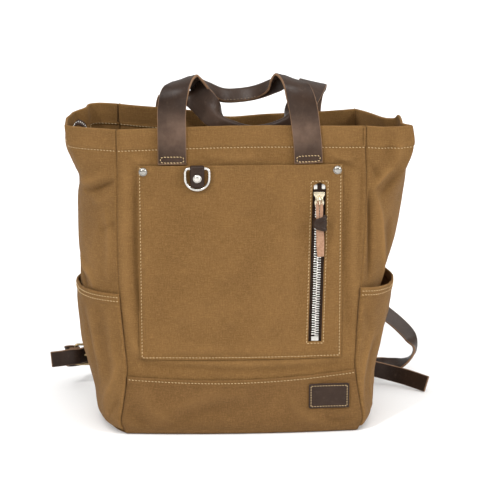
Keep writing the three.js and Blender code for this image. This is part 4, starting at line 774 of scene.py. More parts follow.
swell *= ease(edge / 0.010) * ease(to_slot / 0.010)
all_round = np.minimum(edge, pocket_high - level)
swell -= 0.30 * np.exp(-((all_round / mm - 3.0) / 0.9) ** 2) + 0.30 * np.exp(-((to_slot / mm - 3.0) / 0.9) ** 2)
swell += 0.45 * (1 - ease(all_round / 0.0095)) + 0.5 * (1 - ease(to_slot / 0.006))
pocket = np.stack([x, front_face(x, level) - back - cloth_thick - swell * mm, level], -1)
rows_in = (levels[:-1] >= slot_low - 1e-9) & (levels[1:] <= slot_high + 1e-9)
cols_in = (columns[:-1] - slot_centre >= -slot_half - 1e-9) & (columns[1:] - slot_centre <= slot_half + 1e-9)
piece = sheet("canvas_front_pocket", pocket, cloth_thick, np.array([0, -1.0, 0]), tobacco, "canvas",
              np.stack([u * mm, v * mm, 0 * u + 7], -1), swell, hole=rows_in[:, None] & cols_in[None, :])
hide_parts("front_pocket")


def pocket_face(x, z):
    """Depth of the front pocket's outer face"""
    edge = np.minimum(np.minimum(x - pocket_left, pocket_right - x), z - pocket_low)
    return front_face(x, z) - 0.0003 - pocket_loft * ease(edge / pocket_roll) - cloth_thick


def front_run(corners, face, proud=0.0002, step=0.002):
    """A row of stitches on a face of the front, along straight lines between corners"""
    path = []
    for (x0, z0), (x1, z1) in zip(corners[:-1], corners[1:]):
        count = max(2, int(math.hypot(x1 - x0, z1 - z0) / step))
        path += [(x0 + (x1 - x0) * k / count, z0 + (z1 - z0) * k / count) for k in range(count)]
    path.append(corners[-1])
    path = np.array(path)
    at = np.stack([path[:, 0], face(path[:, 0], path[:, 1]) - proud, path[:, 1]], -1)
    return at, np.tile((0, -1.0, 0), (len(at), 1))


inset, slot_inset = 0.0026, 0.0021
slot_run = [(zip_x(slot_low) - slot_half - slot_inset, slot_low - slot_inset),
            (zip_x(slot_low) + slot_half + slot_inset, slot_low - slot_inset),
            (zip_x(slot_high) + slot_half + slot_inset, slot_high + slot_inset),
            (zip_x(slot_high) - slot_half - slot_inset, slot_high + slot_inset)]
slot_run += [slot_run[0]]
pocket_run = [(pocket_left + inset, pocket_high - 0.001), (pocket_left + inset, pocket_low + inset),
              (pocket_right - inset, pocket_low + inset), (pocket_right - inset, pocket_high - 0.001)]
sides = [run[k:k + 2] for run in (pocket_run, slot_run) for k in range(len(run) - 1)]
stitches("pocket_stitches", [front_run(side, pocket_face) for side in sides])


# The pocket's zip: a dark brown twill tape 30 mm wide, nickel teeth clamped along its two middle edges, a pair of
# stops above and one below. The teeth of one side stand between those of the other.
nickel = Finish("nickel", (0.62, 0.60, 0.56), 0.24, Metallic=1.0)
nickel.put("Roughness", 0.16 + nickel.noise(nickel.place(), 420, 4) * 0.2)
nickel.mottle(90, 3, (0.46, 0.44, 0.40), (0.76, 0.74, 0.70))
nickel.put("Normal", nickel.bump(nickel.noise(nickel.place(), 700, 2), 0.00005, 0.4))
twill = Finish("brown_twill_tape", (0.03, 0.018, 0.013), 0.9, Specular_IOR_Level=0.12)
twill_wave = twill.node("TexWave", {"wave_type": "BANDS", "bands_direction": "DIAGONAL"},
                        {"Vector": twill.place(), "Scale": 520, "Distortion": 1.5, "Detail": 1.0}, out=1)
twill.put("Base Color", twill.mix(twill_wave, (0.020, 0.012, 0.009), (0.052, 0.031, 0.022)))
twill.put("Normal", twill.bump(twill_wave, 0.0002, 0.7))
tape_wide, tape_thick, tape_spare = 0.030, 0.0008, 0.006
chain_wide, chain_thick, tooth_pitch = 0.0086, 0.0024, 0.00285
tape_back = 0.0003
chain_back = tape_back + tape_thick + 0.0003
stop_high, stop_wide = 0.0055, 0.0042
across, up = np.meshgrid(np.linspace(-tape_wide / 2, tape_wide / 2, 19),
                         np.linspace(slot_low - tape_spare, slot_high + tape_spare, 90))
x = zip_x(up) + across
ridge = 0.00035 * np.exp(-((np.abs(across) - 0.0042) / 0.0007) ** 2)
tape_grid = np.stack([x, front_face(x, up) - tape_back - tape_thick - ridge, up], -1)
tape = sheet("zip_tape_twill", tape_grid, tape_thick, np.array([0, -1.0, 0]), twill, "zip_tape",
             np.stack([across, up, 0 * up], -1), 0 * up)
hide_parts("zip_tape")


def block(centre, size, round_off, steps=2):
    """Points and faces of a small block with rounded edges, before it is turned into place"""
    size = np.asarray(size) / 2
    angles = np.linspace(0, math.pi / 2, steps + 1)
    rows = []
    for lat_side, lat in [(-1, a) for a in angles[::-1]] + [(1, a) for a in angles]:
        ring = []
        for quarter, (sx, sy) in enumerate(((1, 1), (-1, 1), (-1, -1), (1, -1))):
            for a in angles:
                b = a + quarter * math.pi / 2
                ring.append((sx * (size[0] - round_off) + round_off * math.cos(b) * math.cos(lat),
                             sy * (size[1] - round_off) + round_off * math.sin(b) * math.cos(lat),
                             lat_side * (size[2] - round_off) + lat_side * round_off * math.sin(lat)))
        rows.append(ring)
    points = np.array([p for ring in rows for p in ring]) + np.asarray(centre)
    n = len(rows[0])
    faces = [[i * n + k, i * n + (k + 1) % n, (i + 1) * n + (k + 1) % n, (i + 1) * n + k]
             for i in range(len(rows) - 1) for k in range(n)]
    faces += [list(range(n))[::-1], [(len(rows) - 1) * n + k for k in range(n)]]
    return points, faces


def join(parts):
    """One list of points and one of faces from several"""
    points, faces, start = [], [], 0
    for part_points, part_faces in parts:
        points.append(part_points)
        faces += [[start + k for k in face] for face in part_faces]
        start += len(part_points)
    return np.concatenate(points), faces


chain_low, chain_high = slot_low + stop_high + 0.0006, slot_high - 0.0125
teeth = []
for k in range(int((chain_high - chain_low) / tooth_pitch * 2)):
    z = chain_low + (k + 0.7) * tooth_pitch / 2
    way = -1 if k % 2 else 1
    x = zip_x(z) + way * 0.0018
    y = front_face(x, z) - chain_back - chain_thick / 2
    teeth.append(block((x, y, z), (0.0050, chain_thick, 0.00135), 0.0004, 1))
    teeth.append(block((x - way * 0.0016, y, z), (0.0016, chain_thick * 0.8, 0.00175), 0.0004, 1))
piece = make_piece("zip_teeth", *join(teeth), nickel, slot="nickel")
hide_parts("zip_chain")
for name, side in (("left", -1), ("right", 1)):
    z = slot_high - 0.0045
    x = zip_x(z) + side * 0.0045
    at = (x, front_face(x, z) - chain_back - chain_thick / 2, z)
    piece = make_piece("zip_stop_" + name, *block(at, (stop_wide, chain_thick, stop_high), 0.0006, 3), nickel,
                       slot="nickel")
    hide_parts("zip_top_stop_" + name)
z = slot_low + 0.0003 + stop_high / 2
at = (zip_x(slot_low), front_face(zip_x(z), z) - chain_back - chain_thick / 2, z)
piece = make_piece("zip_stop_low", *block(at, (chain_wide, chain_thick, stop_high), 0.0007, 3), nickel,
                   slot="nickel")
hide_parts("zip_bottom_stop")


# The zip's slider: a waisted plate over the teeth, ribbed along its middle, with a wire bail. A raw leather thong
# is looped through the bail, knotted under it and left with a flat tail.
slider_long, slider_wide, slider_thick = 0.0185, 0.0128, 0.0022
bail_high, bail_wire = 0.0054, 0.0018
pull_long, pull_wide, pull_thick = 0.064, 0.009, 0.002
slider_back = chain_back + chain_thick + 0.0003
slider_top = slot_high - 0.0098
bail_z = slider_top - slider_long * 0.62


def spline(rows, per):
    """Stations between rows on a centripetal curve, the same as the solid model's"""
    rows = np.asarray(rows, float)
    out = []
    for k in range(len(rows) - 1):
        p1, p2 = rows[k], rows[k + 1]
        p0 = rows[k - 1] if k else 2 * p1 - p2
        p3 = rows[k + 2] if k + 2 < len(rows) else 2 * p2 - p1
        d0, d1, d2 = (max(((b - a) ** 2).sum() ** 0.25, 1e-6) for a, b in ((p0, p1), (p1, p2), (p2, p3)))
        t1 = ((p1 - p0) / d0 - (p2 - p0) / (d0 + d1) + (p2 - p1) / d1) * d1
        t2 = ((p2 - p1) / d1 - (p3 - p1) / (d1 + d2) + (p3 - p2) / d2) * d1
        s = np.arange(per + (k == len(rows) - 2))[:, None] / per
        out.append(p1 + t1 * s + (3 * (p2 - p1) - 2 * t1 - t2) * s**2 + (2 * (p1 - p2) + t1 + t2) * s**3)
    return np.concatenate(out)


def frames(centres, widths, joined=False):
    """Direction, width and face vectors along a line"""
    ahead, behind = np.roll(centres, -1, 0), np.roll(centres, 1, 0)
    if not joined:
        ahead[-1], behind[0] = centres[-1], centres[0]
    way = ahead - behind
    way /= np.linalg.norm(way, axis=1, keepdims=True)
    wide = widths - way * (widths * way).sum(1, keepdims=True)
    wide /= np.linalg.norm(wide, axis=1, keepdims=True)
    return way, wide, np.cross(way, wide)


def sweep(centres, wide, face, sections, joined=False):
    """Points and faces of a bar whose sections lie along a line. sections: one closed outline per station."""
    count, ring = len(centres), sections.shape[1]
    points = centres[:, None] + wide[:, None] * sections[..., :1] + face[:, None] * sections[..., 1:]
    flat = points.reshape(-1, 3)
    spans = count if joined else count - 1
    faces = []
    for i in range(spans):
        j = (i + 1) % count
        faces += [[i * ring + k, i * ring + (k + 1) % ring, j * ring + (k + 1) % ring, j * ring + k]
                  for k in range(ring)]
    if not joined:
        faces += [list(range(ring))[::-1], [(count - 1) * ring + k for k in range(ring)]]
    return flat, faces


def oval(wide, thick, sides=10):
    angles = np.arange(sides) * 2 * math.pi / sides
    wide, thick = np.broadcast_arrays(np.atleast_1d(wide), np.atleast_1d(thick))
    return np.stack([wide[:, None] / 2 * np.cos(angles), thick[:, None] / 2 * np.sin(angles)], -1)


def capped(centres, wide, face, sections, close=0.5):
    """The same bar with ends that close in a short dome"""
    way = np.gradient(centres, axis=0)
    way /= np.linalg.norm(way, axis=1, keepdims=True)
    reach = np.ptp(sections[0], 0).min() / 2 * close
    head = [centres[0] - way[0] * reach * math.sin(a) for a in (math.pi / 2, 1.0, 0.5)]
    tail = [centres[-1] + way[-1] * reach * math.sin(a) for a in (0.5, 1.0, math.pi / 2)]
    shrink = [0.25, math.cos(1.0), math.cos(0.5)]
    first, last = (np.minimum(1, reach / np.maximum(np.abs(outline).max(0), 1e-9))
                   for outline in (sections[0], sections[-1]))
    body = np.concatenate([head, centres, tail])
    lines = np.concatenate([[sections[0] * (1 - (1 - k) * first) for k in shrink], sections,
                            [sections[-1] * (1 - (1 - k) * last) for k in shrink[::-1]]])
    wide, face = (np.concatenate([[rows[0]] * 3, rows, [rows[-1]] * 3]) for rows in (wide, face))
    return sweep(body, wide, face, lines)


def tipped(points, angle):
    """Points turned about the X axis"""
    y, z = points[:, 1], points[:, 2]
    sin, cos = math.sin(angle), math.cos(angle)
    return np.stack([points[:, 0], y * cos - z * sin, y * sin + z * cos], -1)


def route(rows, per):
    """Stations of a table of places and width directions, each smoothed by itself"""
    return np.hstack([spline(rows[:, :3], per), spline(rows[:, 3:6], per)])


def plate(outline, low, high, round_off, steps=3):
    """Points and faces of a plate with rounded edges: an outline in x and z, and two depths"""
    outline = np.asarray(outline, float)
    before, after = outline - np.roll(outline, 1, 0), np.roll(outline, -1, 0) - outline
    corner = np.stack([before[:, 1] + after[:, 1], -before[:, 0] - after[:, 0]], -1)
    corner /= np.linalg.norm(corner, axis=1, keepdims=True)
    rings = []
    for a in np.linspace(math.pi / 2, 0, steps + 1):
        rings.append((outline - corner * round_off * (1 - math.cos(a)), low + round_off * (1 - math.sin(a))))
    for a in np.linspace(0, math.pi / 2, steps + 1):
        rings.append((outline - corner * round_off * (1 - math.cos(a)), high - round_off * (1 - math.sin(a))))
    points = np.concatenate([np.stack([ring[:, 0], np.full(len(ring), y), ring[:, 1]], -1)
                             for ring, y in rings])
    n = len(outline)
    faces = [[i * n + k, i * n + (k + 1) % n, (i + 1) * n + (k + 1) % n, (i + 1) * n + k]
             for i in range(len(rings) - 1) for k in range(n)]
    faces += [list(range(n))[::-1], [(len(rings) - 1) * n + k for k in range(n)]]
    return points, faces


half = slider_wide / 2
right_side = [(half * wide, -down * slider_long) for wide, down in (
    (0.82, 0), (0.98, 0.04), (1, 0.12), (0.96, 0.2), (0.8, 0.28), (0.68, 0.36), (0.68, 0.46), (0.8, 0.54),
    (0.86, 0.64),
    (0.8, 0.76), (0.64, 0.88), (0.46, 0.97), (0.4, 1))]
shield = right_side + [(-x, z) for x, z in reversed(right_side)]
body_part = plate(shield[::-1], -slider_thick, 0, 0.0006)
rib_line = [(x * 0.28, z * 0.86 - 0.0012) for x, z in shield[::-1]]
rib = plate(rib_line, -slider_thick - 0.0006, -slider_thick + 0.0006, 0.0004)
arch_t = np.linspace(-1, 1, 15)
bulge = np.sqrt(np.clip(1 - arch_t**2, 0, 1))
arch = np.stack([0 * arch_t, -slider_thick + bail_wire / 2 - bail_high * bulge - 0.0002 * bulge**2,
                 -slider_long * 0.55 + arch_t * slider_long * 0.33], -1)
_, bail_side, bail_face = frames(arch, np.tile((1.0, 0, 0), (15, 1)))
around = np.arange(24) * 2 * math.pi / 24
ring = np.stack([0.0034 * np.cos(around), -slider_thick - 0.0016 + 0.0005 * np.sin(around),
                 -slider_long * 0.5 + 0.0042 * np.sin(around)], -1)
_, ring_side, ring_face = frames(ring, np.tile((0, 1.0, 0), (24, 1)), joined=True)
points, faces = join([body_part, rib, sweep(arch, bail_side, bail_face, oval([bail_wire] * 15, bail_wire)),
                      sweep(ring, ring_side, ring_face, oval([0.0013] * 24, 0.0013), joined=True)])
slider_x = float(zip_x(bail_z))
upper, lower = (face_y("front", slider_x, z) for z in (slider_top, slider_top - slider_long))
points = tipped(points + (0, 0, slider_long * 0.62), -math.atan2(upper - lower, slider_long))
slider_y = float(front_face(np.array(slider_x), np.array(bail_z))) - slider_back
pale_brass = Finish("pale_brass", (0.74, 0.64, 0.45), 0.2, Metallic=1.0)
pale_brass.put("Roughness", 0.16 + pale_brass.noise(pale_brass.place(), 200, 2) * 0.12)
pale_brass.mottle(150, 2, (0.62, 0.53, 0.38), (0.84, 0.75, 0.57))
piece = make_piece("zip_slider_plate", points + (slider_x, slider_y, bail_z), faces, pale_brass, slot="nickel")
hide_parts("zip_slider")

raw_hide = Finish("raw_leather", (0.42, 0.235, 0.14), 0.62, Specular_IOR_Level=0.35)
fibre = raw_hide.noise(raw_hide.place(), 380, 5, 0.65)
raw_hide.put("Base Color", raw_hide.mix((fibre - 0.3) * 1.5, (0.235, 0.115, 0.062), (0.52, 0.32, 0.205)))
raw_hide.put("Normal", raw_hide.bump(fibre, 0.0003, 0.6))


def pull_spot(side, share, off):
    z = bail_z - share * pull_long
    face = float(front_face(np.array(slider_x), np.array(z)))
    return slider_x + side, face - slider_back - slider_thick - off, z


in_bail, apart = 0.0006 + pull_thick / 2, bail_wire / 2 + pull_thick
loop_rows = [(-0.0019, 0.3, in_bail + 0.003, 1, 0, 0), (-0.0022, 0.12, in_bail + 0.0012, 1, 0, 0.2),
             (-apart * 0.6, 0.01, in_bail, 0.6, 0, 0.8), (0, 0, in_bail, 0, 0, 1),
             (apart * 0.6, 0.01, in_bail, -0.6, 0, 0.8),
             (0.0022, 0.12, in_bail + 0.0012, -1, 0, 0.2), (0.0019, 0.3, in_bail + 0.003, -1, 0, 0)]
stations = route(np.array([(*pull_spot(*row[:3]), *row[3:]) for row in loop_rows]), 5)
_, wide, face = frames(stations[:, :3], stations[:, 3:])
loop_part = sweep(stations[:, :3], wide, face, oval([pull_wide * 0.42] * len(stations), pull_thick * 0.85, 12))
tail_rows = [(0.0004, 0.38, 0.0046, 0.9, 0.75), (0.0006, 0.5, 0.0044, 0.95, 0.8),
             (0.0010, 0.62, 0.0038, 1.0, 0.85),
             (0.0012, 0.8, 0.0034, 0.98, 0.85), (0.0016, 0.96, 0.003, 0.88, 0.8)]
stations = spline([(*pull_spot(*row[:3]), row[3] * pull_wide, row[4] * pull_thick) for row in tail_rows], 6)
lean = np.linspace(-0.25, 0.2, len(stations))
_, wide, face = frames(stations[:, :3], np.stack([np.cos(lean), np.sin(lean), 0 * lean], -1))


def strap_outline(wide, thick, round_off=0.0009, steps=4, across=9):
    """Closed outlines of a flat strap with rounded edges, one per station, from sizes per station"""
    wide, thick = np.broadcast_arrays(np.atleast_1d(wide), np.atleast_1d(thick))
    r = np.minimum(round_off, thick / 2 * 0.98)
    outline = []
    for sx, sy, first in ((1, -1, -math.pi / 2), (1, 1, 0), (-1, 1, math.pi / 2), (-1, -1, math.pi)):
        for a in np.linspace(first, first + math.pi / 2, steps):
            corner = sx * (wide / 2 - r) + r * math.cos(a), sy * (thick / 2 - r) + r * math.sin(a)
            outline.append(np.stack(corner, -1))
        if sy == 1 and sx == 1 or sy == -1 and sx == -1:
            for t in np.linspace(1, -1, across + 2)[1:-1]:
                outline.append(np.stack([sx * t * (wide / 2 - r), sy * thick / 2], -1))
    return np.stack(outline, 1)


tail_part = capped(stations[:, :3], wide, face, strap_outline(stations[:, 3], stations[:, 4], 0.0006, 3, 3))
wraps = []
for tip, drop, tall, out in ((0.04, 0.355, 0.0112, 0.0), (0.36, 0.285, 0.0052, 0.0004),
                             (-0.28, 0.43, 0.0052, 0.0002)):
    angle = np.arange(20) * 2 * math.pi / 20
    at = np.array(pull_spot(0.0003, drop, 0.0052 + out))
    round_knot = at + np.stack([0.0068 * np.cos(angle), 0.0036 * np.sin(angle),
                                0.0068 * np.cos(angle) * math.sin(tip)], -1)
    _, wide, face = frames(round_knot, np.tile((0.15 * math.sin(tip), 0, 1.0), (20, 1)), joined=True)
    wraps.append(sweep(round_knot, wide, face, oval([tall] * 20, 0.0028, 14), joined=True))
points, faces = join([loop_part, tail_part])
piece = make_piece("zip_pull_thong", points, faces, raw_hide, slot="raw_leather")
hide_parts("zip_pull")
dark_hide = Finish("dark_leather", (0.03, 0.018, 0.012), 0.42, Specular_IOR_Level=0.2)
spot = dark_hide.place()
pores = dark_hide.node("TexVoronoi", {"feature": "DISTANCE_TO_EDGE"}, {"Vector": spot, "Scale": 1150})
creases = dark_hide.noise(spot, 240, 6, 0.6)
tone = dark_hide.noise(spot, 26, 4, 0.55)
streak = dark_hide.noise(spot, 90, 5, 0.65)
bare = dark_hide.node("Attribute", {"attribute_name": "edge"}, out=2)
rub_and_highlight = dark_hide.node("Attribute", {"attribute_name": "burnish"}, out=2)
brown = dark_hide.mix((tone - 0.3) * 1.6, (0.013, 0.0062, 0.0035), (0.038, 0.0200, 0.0120))
# The attribute read here mixes in a paler streaked brown: painted highlight at mid-height of the handles' legs, and
# burnish elsewhere
pale = dark_hide.mix((streak - 0.3) * 1.6, (0.085, 0.051, 0.035), (0.180, 0.115, 0.080))
brown = dark_hide.mix(dark_hide.node("Clamp", inputs={0: rub_and_highlight * (0.45 + tone * 1.1)}), brown, pale)
brown = dark_hide.mix(dark_hide.node("Clamp", inputs={0: (creases - 0.54) * 1.2}), brown, (0.095, 0.062, 0.045))
worn = dark_hide.node("Clamp", inputs={0: bare * (0.35 + creases * 0.9)})
dark_hide.put("Base Color", dark_hide.mix(worn, brown, (0.21, 0.118, 0.064)))
dark_hide.put("Roughness", dark_hide.node("Clamp", inputs={0: 0.26 + tone * 0.16 + bare * 0.3}))
dark_hide.put("Normal", dark_hide.bump(pores.power(0.35) + creases * 0.8, 0.00018, 0.5))
make_piece("zip_pull_knot", *join(wraps), dark_hide, slot="raw_leather")


# Rivets: domed nickel caps with a thin rim, set through both upper corners of the front pocket.
rivet_wide, rivet_dome, rivet_inset = 0.0095, 0.0022, 0.0065


def cap(wide, dome, sides=36):
    """A domed cap that looks along -Y"""
    outs = np.array([0.0, 1.0, 1.0, 0.97, 0.9, 0.86, 0.84, 0.78, 0.68, 0.55, 0.38, 0.2, 0.0]) * wide / 2
    ups = np.array([0.0, 0.0, 0.14, 0.22, 0.24, 0.22, 0.34, 0.52, 0.7, 0.85, 0.95, 0.99, 1.0]) * dome
    angles = np.arange(sides) * 2 * math.pi / sides
    rings = [np.stack([r * np.cos(angles), 0 * angles - h, r * np.sin(angles)], -1)
             for r, h in zip(outs[1:-1], ups[1:-1])]
    points = np.concatenate(rings + [[(0, 0, 0)], [(0, -dome, 0)]])
    n, last = sides, (len(rings) - 1) * sides
    faces = [[i * n + k, i * n + (k + 1) % n, (i + 1) * n + (k + 1) % n, (i + 1) * n + k]
             for i in range(len(rings) - 1) for k in range(n)]
    faces += [[len(points) - 2, (k + 1) % n, k] for k in range(n)]
    faces += [[len(points) - 1, last + k, last + (k + 1) % n] for k in range(n)]
    return points, faces


# The pocket rivets' nickel is painted darker than the other nickel: painted shade standing in for the dim room the
# domes reflect
nickel_painted_darker = Finish("nickel_painted_darker", (0.30, 0.28, 0.25), 0.18, Metallic=1.0)
nickel_painted_darker.put("Roughness", 0.13 + nickel_painted_darker.noise(nickel_painted_darker.place(), 300, 3) * 0.18)
nickel_painted_darker.mottle(120, 3, (0.20, 0.19, 0.17), (0.52, 0.50, 0.46))
rivet_z = pocket_high - rivet_inset
for name, x in (("left", pocket_left + rivet_inset), ("right", pocket_right - rivet_inset)):
    points, faces = cap(rivet_wide, rivet_dome)
    near_x = x + np.array([-1, 0, 1]) * rivet_wide / 2
    y = float(pocket_face(near_x, np.full(3, rivet_z)).min()) - 0.0004
    piece = make_piece("pocket_rivet_cap_" + name, points + (x, y, rivet_z), faces, nickel_painted_darker, slot="nickel")
    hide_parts("pocket_rivet_" + name)


# D-ring and its tab: a nickel wire ring 3 mm thick hangs by its straight bar in the fold of a leather tab 16 mm
# wide, which one domed rivet holds on the front pocket.
ring_wide, ring_high, ring_wire, ring_hang = 0.030, 0.028, 0.003, math.radians(3)
tab_wide, tab_thick = 0.016, 0.0018
ring_x, ring_y, ring_z, tab_low = -0.05, -0.06938542, 0.316, 0.2936
fold_radius = ring_wire / 2 + 0.0003 + tab_thick
drop = tab_low - ring_z
middle = fold_radius - tab_thick / 2
profile = [(middle, drop * (1 - k / 8)) for k in range(8)]
profile += [(middle * math.cos(a), middle * math.sin(a)) for a in np.linspace(0, math.pi, 17)]
profile += [(-middle + (middle + 0.0006) * k / 12, drop * k / 12) for k in range(1, 13)]
profile = np.array(profile)
reach = np.sqrt(np.clip(1 - np.clip((profile[:, 1] - drop) / (0.35 * tab_wide) - 1, -1, 0) ** 2, 0, 1))
ticks = np.linspace(-1, 1, 13)
narrow = 0.35 + 0.65 * reach
grid = np.stack([ring_x + ticks[None, :] * (tab_wide / 2) * narrow[:, None],
                 ring_y + profile[:, :1] + 0 * ticks[None, :],
                 ring_z + profile[:, 1:] + 0 * ticks[None, :]], -1)
normal = np.gradient(profile, axis=0)
normal = np.stack([0 * normal[:, 0], normal[:, 1], -normal[:, 0]], -1)
normal /= np.linalg.norm(normal, axis=1, keepdims=True)
outer = grid + normal[:, None] * tab_thick / 2
piece = sheet("ring_tab_leather", outer, tab_thick, np.tile(normal[:, None], (1, 13, 1)), dark_hide, "leather",
              outer, np.full(outer.shape[:2], 0.02), shade="burnish")
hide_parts("ring_tab")
taper = 2 * fold_radius - 2 * tab_thick - 0.0003
points, faces = cap(rivet_wide, rivet_dome)
points = tipped(points + (0, -0.0003, 0), math.atan2(taper, -drop))
points = points + (ring_x, ring_y - fold_radius + taper * 0.5, ring_z + drop * 0.5)
piece = make_piece("tab_rivet_cap", points, faces, nickel, slot="nickel")
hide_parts("tab_rivet")

bar_half, ring_drop = ring_wide / 2 - ring_wire / 2, ring_high - ring_wire
straight = ring_drop - bar_half
line = [(-bar_half + 0.002 + (2 * bar_half - 0.004) * k / 12, 0) for k in range(13)]
line += [(bar_half, -0.002 - (straight - 0.002) * k / 4) for k in range(4)]
line += [(bar_half * math.cos(a), -straight - bar_half * math.sin(a)) for a in np.linspace(0, math.pi, 31)]
line += [(-bar_half, -0.002 - (straight - 0.002) * k / 4) for k in range(3, -1, -1)]
line = np.array([(x, 0, z) for x, z in line])
line = line * 0.5 + (np.roll(line, 1, 0) + np.roll(line, -1, 0)) * 0.25
_, wide, face = frames(line, np.tile((0, 1.0, 0), (len(line), 1)), joined=True)
points, faces = sweep(line, wide, face, oval([ring_wire] * len(line), ring_wire, 16), joined=True)
points = tipped(points, ring_hang) + (ring_x, ring_y, ring_z)
piece = make_piece("d_ring_wire", points, faces, nickel, body="ring", slot="nickel")
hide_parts("d_ring")


# Label patch: a bare piece of the same leather, 47 by 30 mm, sewn to the band 3 mm inside its edge.
patch_x, patch_mid, patch_wide, patch_high, patch_thick = 0.100, 0.047, 0.047, 0.030, 0.002
a, b = np.meshgrid(places(-patch_wide / 2, patch_wide / 2, 0.002),
                   places(-patch_high / 2, patch_high / 2, 0.002))
corner = 0.0025
band_grid = band_points[[i for i, (part, _) in enumerate(band_line) if part == "front"]]
x, z = patch_x + a, patch_mid + b
in_x, in_z = patch_wide / 2 - np.abs(a), patch_high / 2 - np.abs(b)
cut = np.maximum(corner - in_x, 0) ** 2 + np.maximum(corner - in_z, 0) ** 2
shrink = np.where(cut > corner**2, corner / np.sqrt(np.maximum(cut, 1e-12)), 1)
both = (in_x < corner) & (in_z < corner)
x = np.where(both, patch_x + np.sign(a) * (patch_wide / 2 - corner + np.maximum(corner - in_x, 0) * shrink), x)
z = np.where(both,
             patch_mid + np.sign(b) * (patch_high / 2 - corner + np.maximum(corner - in_z, 0) * shrink), z)


def band_face(x, z):
    """Depth of the finished band's front"""
    x, z = np.broadcast_arrays(x, z)
    out = np.empty(x.shape)
    for k in np.ndindex(x.shape):
        j = int(np.clip(np.searchsorted(band_grid[len(band_grid) // 2, :, 0], x[k]), 1, band_grid.shape[1] - 1))
        heights = band_grid[:, j, 2]
        order = np.argsort(heights)
        out[k] = np.interp(z[k], heights[order], band_grid[order, j, 1])
    return out


dent = np.exp(-((np.minimum(in_x, in_z) / mm - 2.6) / 0.7) ** 2) * 0.00025
grid = np.stack([x, band_face(x, z) - 0.0004 - patch_thick + dent, z], -1)
flat_y = float(np.median(grid[..., 1]))
grid[..., 1] = np.minimum(grid[..., 1] * 0.35 + flat_y * 0.65,
                          band_face(x, z) - 0.0004 - patch_thick * 0.7 + dent)
piece = sheet("label_leather", grid, patch_thick, np.array([0, -1.0, 0]), dark_hide, "leather", grid,
              np.full(a.shape, 0.08), shade="burnish")
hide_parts("label_patch")
hx, hz = patch_wide / 2 - 0.0026, patch_high / 2 - 0.0026
corners = [(patch_x - hx, patch_mid - hz), (patch_x + hx, patch_mid - hz), (patch_x + hx, patch_mid + hz),
           (patch_x - hx, patch_mid + hz), (patch_x - hx, patch_mid - hz)]
dark_thread = Finish("brown_thread", (0.17, 0.115, 0.07), 0.7)
dark_thread.mottle(300, 2, (0.11, 0.07, 0.04), (0.25, 0.17, 0.10))


def label_face(x, z):
    """Depth of the label's outer face"""
    rows = np.array([[np.interp(at, grid[i, :, 0], grid[i, :, 1]) for i in range(len(grid))] for at in x])
    return np.array([np.interp(up, grid[:, 12, 2], row) for up, row in zip(z, rows)])


stitches("label_stitches", [front_run(corners[k:k + 2], label_face, 0.0001) for k in range(4)], thread_tan,
         pitch=0.0032, thick=0.0008, slot="leather")


# Side pockets: a piece of canvas over the lower half of each gusset, sewn into the same seams, its top turned in
# to a 12 mm hem with two rows of stitches. The right one's mouth stands open, the left one lies nearly flat.
side_dip, side_low = 0.007, 0.006
side_pockets = {
    "left": {"high": 0.170, "gape": 0.0015, "dip": 0.3, "folds": [
        {"line": [(28, 158), (29, 110), (24, 62)], "wide": 7, "high": -1.8, "crisp": 0.2},
        {"line": [(14, 150), (16, 100), (12, 50)], "wide": 6, "high": 1.8, "crisp": 0.1},
        {"line": [(44, 150), (46, 110), (40, 60)], "wide": 8, "high": 2.0, "crisp": 0.1},
        {"line": [(60, 150), (52, 92), (54, 27)], "wide": 7, "high": -2.4, "crisp": 0.1},
        {"line": [(10, 92), (20, 60), (34, 26)], "wide": 5, "high": 2.2, "crisp": 0.4},
        {"line": [(4, 50), (14, 28), (26, 10)], "wide": 4, "high": -1.8, "crisp": 0.4},
        {"line": [(88, 150), (84, 90), (80, 40)], "wide": 8, "high": 2.0, "crisp": 0.1},
        {"line": [(130, 150), (120, 90), (130, 30)], "wide": 14, "high": -2.0, "crisp": 0},
    ]},
    "right": {"high": 0.1745, "gape": 0.011, "dip": 1.0, "folds": [
        {"line": [(22, 118), (16, 93), (9, 70), (2, 38)], "wide": 4, "high": 2.6, "crisp": 0.6},
        {"line": [(30, 110), (24, 80), (18, 50), (14, 20)], "wide": 6, "high": -2.2, "crisp": 0.2},
        {"line": [(8, 150), (14, 130), (22, 118)], "wide": 5, "high": -1.6, "crisp": 0.2},
        {"line": [(40, 150), (44, 110), (40, 60)], "wide": 8, "high": 2.0, "crisp": 0.1},
        {"line": [(62, 150), (62, 110), (56, 50)], "wide": 8, "high": -2.4, "crisp": 0.1},
        {"line": [(20, 60), (30, 34), (44, 14)], "wide": 5, "high": 1.8, "crisp": 0.4},
        {"line": [(110, 150), (104, 90), (112, 30)], "wide": 14, "high": 2.2, "crisp": 0},
    ]},
}
